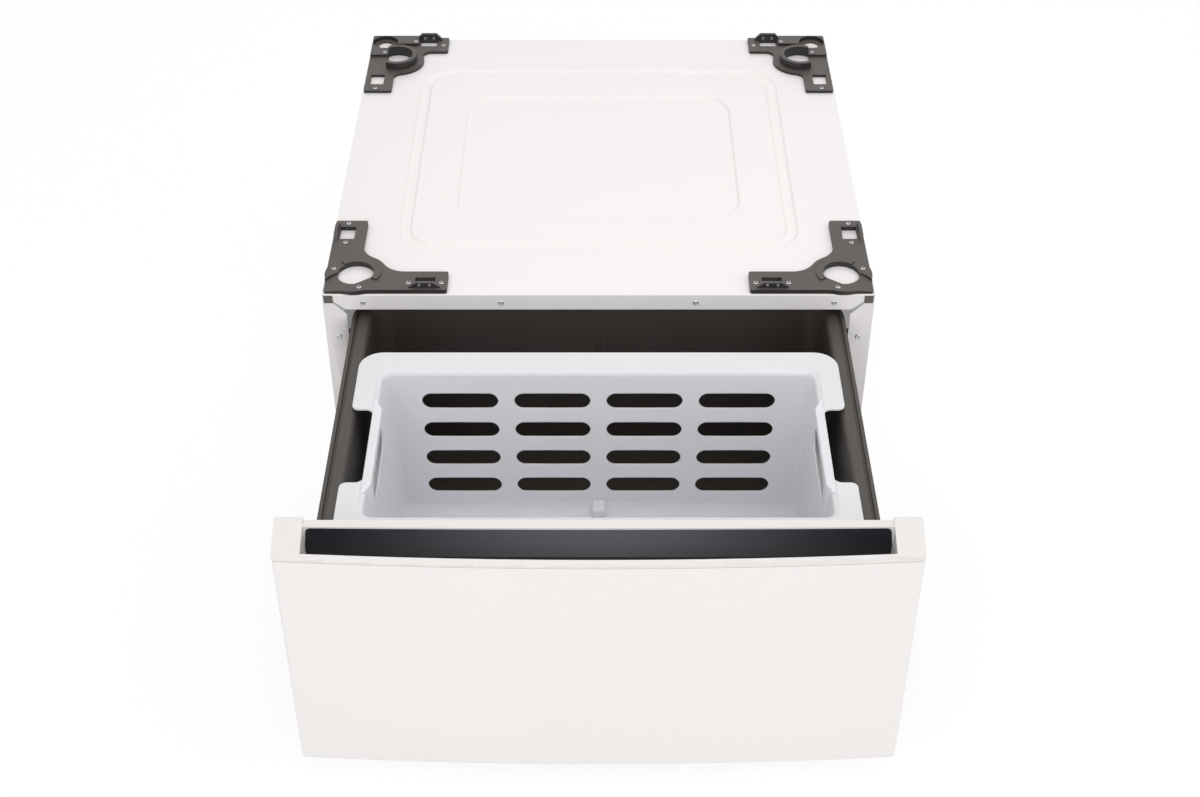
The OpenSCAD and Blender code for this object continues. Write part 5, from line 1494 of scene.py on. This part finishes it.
@dataclass
class DrawerFront:
    """The bowed steel front, its moulded top trim and the smoked strip."""

    y: float
    half: float = 343.0
    bottom: float = 15.3
    top: float = 332.8
    bow: float = 11.0
    side_y: float = -47.0
    back_y: float = -4.2
    edge_r: float = 5.0
    sheet: float = 1.0
    strip_half: float = 309.5
    strip_foot: float = 312.3
    strip_wide: float = 324.0
    strip_low: float = 301.0
    strip_high: float = 349.3
    strip_bow: float = 2.4
    strip_back: float = -13.4
    strip_forward: float = 0.4
    strip_t: float = 1.7
    cap_w: float = 30.5

    def build(self) -> None:
        """Build and place the front's four pieces and its bumpers."""
        place(self.skin(), Palette.front_paint, "drawer", "drawer_front_skin")
        trim = Bench.softened("handle_trim", "handle_cap_trim", 0.6, segments=3, flat=0.02)
        place(trim, Palette.trim, "drawer", "handle_trim")
        place(self.strip(), Palette.strip, "drawer", "handle_strip")
        panel = Bench.softened("drawer_inner_panel", "front_inner_panel", 0.3)
        place(panel, Palette.paint, "drawer", "drawer_inner_panel")
        bumpers = Bench.softened("drawer_bumpers", "front_bumpers", 0.4)
        place(bumpers, Palette.rubber, "drawer", "drawer_bumpers")

    @staticmethod
    def _swing(centre: Flat, degrees: float, steps: int) -> None:
        """Spin the selected vertex about an upright axis, anticlockwise; the operator turns clockwise."""
        bpy.ops.mesh.spin(steps=steps, angle=-math.radians(degrees), axis=(0, 0, 1),
                          center=(centre[0] * MM, centre[1] * MM, 0))

    def skin(self) -> bpy.types.Object:
        """Draw the bowed outline, raise it, close its bottom and give it its sheet.

        Returns:
            The finished front.
        """
        bow_r = (self.half ** 2 + self.bow ** 2) / (2 * self.bow)
        axis_y = self.side_y - self.bow + bow_r
        lean = math.asin((self.half - self.edge_r) / (bow_r - self.edge_r))
        corner_y = axis_y - (bow_r - self.edge_r) * math.cos(lean)
        front = Bench.begin("bowed_front")
        Bench.start_line((-self.half, self.back_y, self.bottom))
        Bench.line([(0, corner_y - self.back_y, 0)])
        turn_by = 90 - math.degrees(lean)
        self._swing((-self.half + self.edge_r, corner_y), turn_by, 6)
        self._swing((0, axis_y), 2 * math.degrees(lean), 28)
        self._swing((self.half - self.edge_r, corner_y), turn_by, 6)
        Bench.line([(0, self.back_y - corner_y, 0)])
        bpy.ops.mesh.select_all(action="SELECT")
        bpy.ops.mesh.remove_doubles(threshold=0.000001)
        bpy.ops.mesh.select_mode(type="EDGE")
        bpy.ops.mesh.select_all(action="SELECT")
        Bench.line([(0, 0, self.top - self.bottom)])
        low = (self.bottom + 0.1) * MM
        Bench.select(front, edges=lambda e: all(v.co.z < low for v in e.verts))
        bpy.ops.mesh.edge_face_add()
        back = (self.back_y - 0.1) * MM
        Bench.select(front, edges=lambda e: all(v.co.z < low for v in e.verts)
                     and not all(v.co.y > back for v in e.verts))
        Bench.bevel(self.edge_r, 6)
        Bench.aim(front, (0, -1, 0))
        Bench.thicken(front, self.sheet)
        Bench.round_edges(front, 0.3, 2, 50)
        return Bench.move(front, shift(y=self.y))

    def strip(self) -> bpy.types.Object:
        """Bend the smoked strip across the recess.

        Returns:
            The finished strip.
        """
        half_recess = self.half - self.cap_w
        bow_r = (half_recess ** 2 + self.strip_bow ** 2) / (2 * self.strip_bow)
        axis_y = self.strip_back - self.strip_bow + bow_r
        lean = math.asin(self.strip_half / bow_r)
        strip = Bench.begin("smoked_strip")
        Bench.start_line((-self.strip_half, axis_y - bow_r * math.cos(lean), self.strip_low))
        self._swing((0, axis_y), 2 * math.degrees(lean), 24)
        bpy.ops.mesh.select_all(action="SELECT")
        Bench.line([(0, 0, self.strip_wide - self.strip_low), (0, 0, self.strip_high - self.strip_wide)])
        high = (self.strip_high - 0.1) * MM
        end = (self.strip_half - 0.1) * MM
        wide = (self.strip_wide + 0.1) * MM
        Bench.select(strip, verts=lambda v: v.co.z < wide)
        bpy.ops.transform.resize(value=(self.strip_foot / self.strip_half, 1, 1), center_override=(0, 0, 0))
        Bench.select(strip, verts=lambda v: v.co.z > high and abs(v.co.x) > end)
        bpy.ops.mesh.bevel(offset=5 * MM, segments=5, affect="VERTICES", clamp_overlap=False)
        Bench.aim(strip, (0, -1, 0))
        Bench.thicken(strip, self.strip_t)
        Bench.round_edges(strip, 0.35, 2, 40)
        return Bench.move(strip, shift(y=self.y - self.strip_forward))


# ---------------------------------------------------------------- drawer tub


@dataclass
class DrawerTub:
    """The moulded tub: skirt, lip, groove, ledge, walls and floor."""

    y: float
    rim_half: float = 307.3
    rim_front: float = -3.0
    rim_rear: float = 446.0
    rim_z: float = 314.0
    ledge_z: float = 313.0
    in_half: float = 283.5
    in_front: float = 14.0
    in_rear: float = 434.0
    bottom: float = 75.0
    wall: float = 2.6
    corner_r: float = 25.0
    floor_r: float = 12.0
    ledge_r: float = 7.0
    slide_x: float = 288.1
    slide_z: float = 250.0
    pad_half: float = 20.0

    def build(self) -> None:
        """Build the tub and its outside pads, and place them as one piece."""
        parts = [self._shell(), *self._pads(), *self._ribs(), *self._bosses()]
        tub = Bench.join("moulded_tub", parts[::-1])
        place(Bench.move(tub, shift(y=self.y)), Palette.tub, "drawer", "drawer_tub")

    def _shell(self) -> bpy.types.Object:
        """Loft the tub's closed skin from the floor inside, over the rim, to the bottom outside."""
        rim = Ring(self.rim_half, self.rim_front, self.rim_rear, self.rim_z, 4, self.corner_r + 12)
        hollow = Ring(self.in_half, self.in_front, self.in_rear, self.ledge_z, self.corner_r, self.corner_r)
        outside = hollow.inset(-self.wall, self.ledge_z - 5.2)
        floor = self.bottom + self.wall
        fillet = [hollow.inset(self.floor_r * (1 - math.sin(a)), floor + self.floor_r * (1 - math.cos(a)), 3.0)
                  for a in quarter(5)]
        soft = [hollow.inset(-self.ledge_r * (1 - math.cos(a)), self.ledge_z - self.ledge_r * (1 - math.sin(a)))
                for a in quarter(6)]
        rings = [*fillet, *soft,
                 rim.inset(8.5, self.ledge_z), rim.inset(7.9, 310.4), rim.inset(5.1, 310.4),
                 rim.inset(4.6, self.rim_z), rim.inset(1.2, self.rim_z), rim.inset(0.35, 313.65),
                 rim.inset(0, 312.8), rim.inset(0, 303), rim.inset(2.2, 303), rim.inset(2.4, 307.8), outside,
                 outside.inset(0, self.bottom + self.floor_r), outside.inset(1.5, self.bottom + 6),
                 outside.inset(5, self.bottom + 1.8), outside.inset(10, self.bottom)]
        shell = Bench.loft("tub_shell", rings, arc=7, first=True, last=True)
        Bench.round_edges(shell, 0.35, 2, 50)
        return shell

    def _pads(self) -> list[bpy.types.Object]:
        """The pads that the inner slide members are screwed to."""
        pads = []
        out, reach = self.in_half + self.wall, self.pad_half
        for side in Side:
            low, high = sorted((side.value * (out - 0.5), side.value * self.slide_x))
            for y in (self.in_front - self.wall + 24, 224, self.in_rear + self.wall - 24):
                pads.append(Bench.block("slide_pad", (low, y - reach, self.slide_z - reach),
                                        (high, y + reach, self.slide_z + reach), 0.7))
        return pads

    def _ribs(self) -> list[bpy.types.Object]:
        """The runners under the floor and the two short ribs on the back wall."""
        ribs = [Bench.block("floor_runner", (x - 1.5, 36, self.bottom - 5), (x + 1.5, 412, self.bottom + 0.5), 0.6)
                for x in (share * self.in_half / 4 for share in (-3, -1, 1, 3))]
        ribs += [Bench.block("back_rib", (x - 1.5, self.in_rear - 1.4, 239.5),
                             (x + 1.5, self.in_rear + 0.5, 260.5), 0.5) for x in (-7.5, 7.5)]
        return ribs

    def _bosses(self) -> list[bpy.types.Object]:
        """The bosses between the tub and the drawer front."""
        pattern = Bench.lathe("front_boss", [(0, 0), (6.4, 0), (7, 0.6), (7, 14.6), (8.2, 15.8), (0, 15.8)], 32)
        Bench.round_edges(pattern, 0, angle=40)
        bosses = [Bench.copy(pattern, "front_boss_set", shift(x, self.in_front - 17, z) @ turn(-90, "X"))
                  for x, z in TUB_SCREWS]
        Bench.discard(pattern)
        return bosses


# ---------------------------------------------------------------- laundry basket


@dataclass
class LaundryBasket:
    """The lift-out basket: a leaning tray with a flat rim, slotted end walls and two hand grips."""

    y: float
    half: float = 288.5
    front: float = 7.0
    rear: float = 332.0
    rim_z: float = 316.1
    rim_r: float = 28.0
    step_half: float = 265.0
    wall_half: float = 258.0
    lean: float = 9.0
    floor: float = 97.1
    wall: float = 2.5
    floor_r: float = 14.0
    notch_middle: float = 160.0
    notch_half: float = 64.0
    notch_rim: float = 263.5
    notch_wall: float = 253.3
    notch_r: float = 8.0
    grip_wall: float = 1.6
    grip_low: float = 256.0
    wall_top: float = 308.0
    wall_r: float = 10.0
    slot_len: float = 92.5
    slot_h: float = 24.0
    slot_pitch_x: float = 112.0
    slot_pitch_z: float = 45.0
    slot_top: float = 271.1
    hand_len: float = 104.0
    hand_h: float = 32.0
    hand_z: float = 288.0

    def build(self) -> None:
        """Build the basket and place it."""
        basket = self._skin()
        Bench.aim(basket, (0, 0, 1))
        Bench.thicken(basket, self.wall)
        self._grips(basket)
        self._foot_bump(basket)
        Bench.cut(basket, self._slots())
        Bench.cut(basket, self._hand_slots())
        Bench.round_edges(basket, 0.7, 3, 40)
        place(Bench.move(basket, shift(y=self.y)), Palette.basket, "basket", "laundry_basket")

    def _skin(self) -> bpy.types.Object:
        """Loft the basket's inner skin from the floor up to the rim's outer edge."""
        top = Ring(self.wall_half, 45, 294, self.wall_top, self.wall_r, self.wall_r)

        def low(inset: float, z: float) -> Ring:
            """A loop of the leaning wall or the floor's fillet."""
            fall = (self.wall_top - z) / (self.wall_top - self.floor)
            corner_r = max(4.0, self.wall_r - 2 * fall - inset / 2)
            return Ring(top.half - self.lean * fall - inset, top.front + self.lean * fall / 2 + inset,
                        top.rear - self.lean * fall / 4 - inset, z, corner_r, corner_r)

        fillet = [low(self.floor_r * (1 - math.sin(a)), self.floor + self.floor_r * (1 - math.cos(a)))
                  for a in quarter(5)]
        step = Ring(self.step_half, 34, 305, self.rim_z, 17, 17)
        rings = [*fillet, low(0, 200), low(0, 270), top,
                 Ring(258.9, 43.5, 295.5, 311.6, 10.9, 10.9), Ring(260.6, 40.9, 298.1, 313.9, 12.6, 12.6),
                 Ring(263.9, 35.7, 303.3, 315.0, 15.9, 15.9), step.inset(0, self.rim_z),
                 Ring(self.half, self.front, self.rear, self.rim_z, self.rim_r, self.rim_r)]
        return Bench.loft("slotted_basket", rings, arc=8, first=True)

    def _grips(self, basket: bpy.types.Object) -> None:
        """Step both side walls inwards at the grips, and cut the rims back there."""
        near, far = self.notch_middle - self.notch_half, self.notch_middle + self.notch_half
        for side in (-1, 1):
            bite = self._mirrored(self._bite_outline(near, far), side)
            Bench.cut(basket, Bench.slab("rim_bite", bite, 300, 330))
            swell = [(self.notch_rim - 0.02, near - 18)]
            swell += [(self.wall_half + 0.6 - self._ease(i / 8) * (self.wall_half + 0.6 - self.notch_wall),
                       near - 14 + 14 * i / 8) for i in range(9)]
            swell += [(x, near + far - y) for x, y in swell[::-1]]
            step = Bench.slab("grip_step", self._mirrored(swell, side), self.grip_low, self.rim_z)
            self._soften(step, side)
            Bench.cut(basket, step, "UNION")
            low, high = sorted((side * (self.notch_wall + self.grip_wall), side * 300))
            Bench.cut(basket, Bench.block("grip_pocket", (low, near + 0.5, self.grip_low + 2.6),
                                          (high, far - 0.5, self.rim_z - 2.7), 2.0, 3))

    @staticmethod
    def _ease(share: float) -> float:
        """A share from nought to one, eased at both ends."""
        return (1 - math.cos(math.pi * share)) / 2

    @staticmethod
    def _mirrored(outline: Sequence[Flat], side: int) -> list[Flat]:
        """The same outline on one side of the basket."""
        return [(side * x, y) for x, y in outline]

    def _bite_outline(self, near: float, far: float) -> list[Flat]:
        """What a grip takes out of the right rim, with round corners and round shoulders.

        Args:
            near: Where the bite begins in Y.
            far: Where it ends.

        Returns:
            The outline's points.
        """
        r = self.notch_r
        shoulder = [(self.half - r + r * math.cos(a), near - r + r * math.sin(a)) for a in quarter(6)]
        corner = [(self.notch_rim + r - r * math.sin(a), near + r - r * math.cos(a)) for a in quarter(6)]
        half = [(self.half + 20, near - r), *shoulder, *corner]
        return half + [(x, near + far - y) for x, y in half[::-1]]

    def _soften(self, step: bpy.types.Object, side: int) -> None:
        """Round the lower and upper edges of a step's inner face.

        Args:
            step: The step's solid.
            side: Which side of the basket it is for, as a sign.
        """
        Bench.pick(step)
        bpy.ops.object.mode_set(mode="EDIT")
        reach = (self.wall_half + 0.7) * MM
        for z, width, segments in ((self.grip_low, 3.0, 5), (self.rim_z, 1.6, 4)):
            Bench.select(step, edges=lambda e, h=z: all(abs(v.co.z - h * MM) < 0.0001 and side * v.co.x < reach
                                                        for v in e.verts))
            Bench.bevel(width, segments)
        Bench.rest()

    def _foot_bump(self, basket: bpy.types.Object) -> None:
        """Raise the small rounded bump where the rear wall meets the floor."""
        bump = Bench.block("foot_bump", (-8, 272, self.floor - 1), (8, 293, self.floor + 14), 4.5, 5)
        Bench.cut(basket, bump, "UNION")

    def _slots(self) -> bpy.types.Object:
        """The tool for the sixteen slots that go through both end walls."""
        return Bench.join("slot_tool", [
            self._bar((column - 1.5) * self.slot_pitch_x, self.slot_top - row * self.slot_pitch_z,
                      self.slot_len, self.slot_h, 400) for column in range(4) for row in range(4)])

    @staticmethod
    def _bar(x: float, z: float, length: float, height: float, reach: float) -> bpy.types.Object:
        """A long bar along Y with round ends, centred at x and z."""
        bar = Bench.begin("slot_bar")
        bpy.ops.mesh.primitive_cylinder_add(vertices=32, radius=height / 2 * MM, depth=reach * MM,
                                            location=(0, 0, 0), rotation=(math.radians(90), 0, 0))
        for side in (-1, 1):
            Bench.select(bar, verts=lambda v, s=side: v.co.x * s > 0.00001)
            bpy.ops.transform.translate(value=(side * (length - height) / 2 * MM, 0, 0))
        Bench.rest()
        return Bench.move(bar, shift(x, 170, z))

    def _hand_slots(self) -> bpy.types.Object:
        """The tool for the hand slot in each side wall."""
        bar = self._bar(0, 0, self.hand_len, self.hand_h, 60)
        Bench.move(bar, shift(y=-170))
        Bench.move(bar, turn(90, "Z"))
        pair = [Bench.copy(bar, "hand_slot_bar", shift(side * self.wall_half, self.notch_middle, self.hand_z))
                for side in (-1, 1)]
        Bench.discard(bar)
        return Bench.join("hand_slot_tool", pair)


# ---------------------------------------------------------------- the whole pedestal


@dataclass
class Datum:
    """Where the cabinet and the drawer stand, in millimetres."""

    cabinet_y: float = field(default_factory=lambda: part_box("side_panel_left")[0].y / MM)

    @property
    def drawer_y(self) -> float:
        """The open drawer's own zero."""
        return self.cabinet_y - DRAWER_OPEN


@dataclass(frozen=True)
class KeptNodes:
    """The CAD nodes whose shape is right, which only get their finish."""

    balls: Finish = Palette.ball
    steel: Finish = Palette.zinc

    def dress(self) -> None:
        """Give every CAD node that still shows its finish."""
        for name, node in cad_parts.items():
            if not node.hide_render:
                (self.balls if "balls" in name else self.steel).dress(node)
                log.info("%s keeps its CAD shape", name)


def main() -> None:
    """Build the studio and the pedestal, piece by piece."""
    logging.basicConfig(level=logging.INFO, format="%(name)s: %(message)s")
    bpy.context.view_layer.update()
    datum = Datum()
    Studio().build(datum.cabinet_y * MM)
    CabinetShell(datum.cabinet_y).build()
    CornerPlates().build()
    Screws(datum.cabinet_y, datum.drawer_y).build()
    LevellingFeet(datum.cabinet_y).build()
    BallSlides(datum.cabinet_y).build()
    DrawerFront(datum.drawer_y).build()
    DrawerTub(datum.drawer_y).build()
    LaundryBasket(datum.drawer_y).build()
    KeptNodes().dress()
    Bench.rest()


if __name__ == "__main__":
    main()
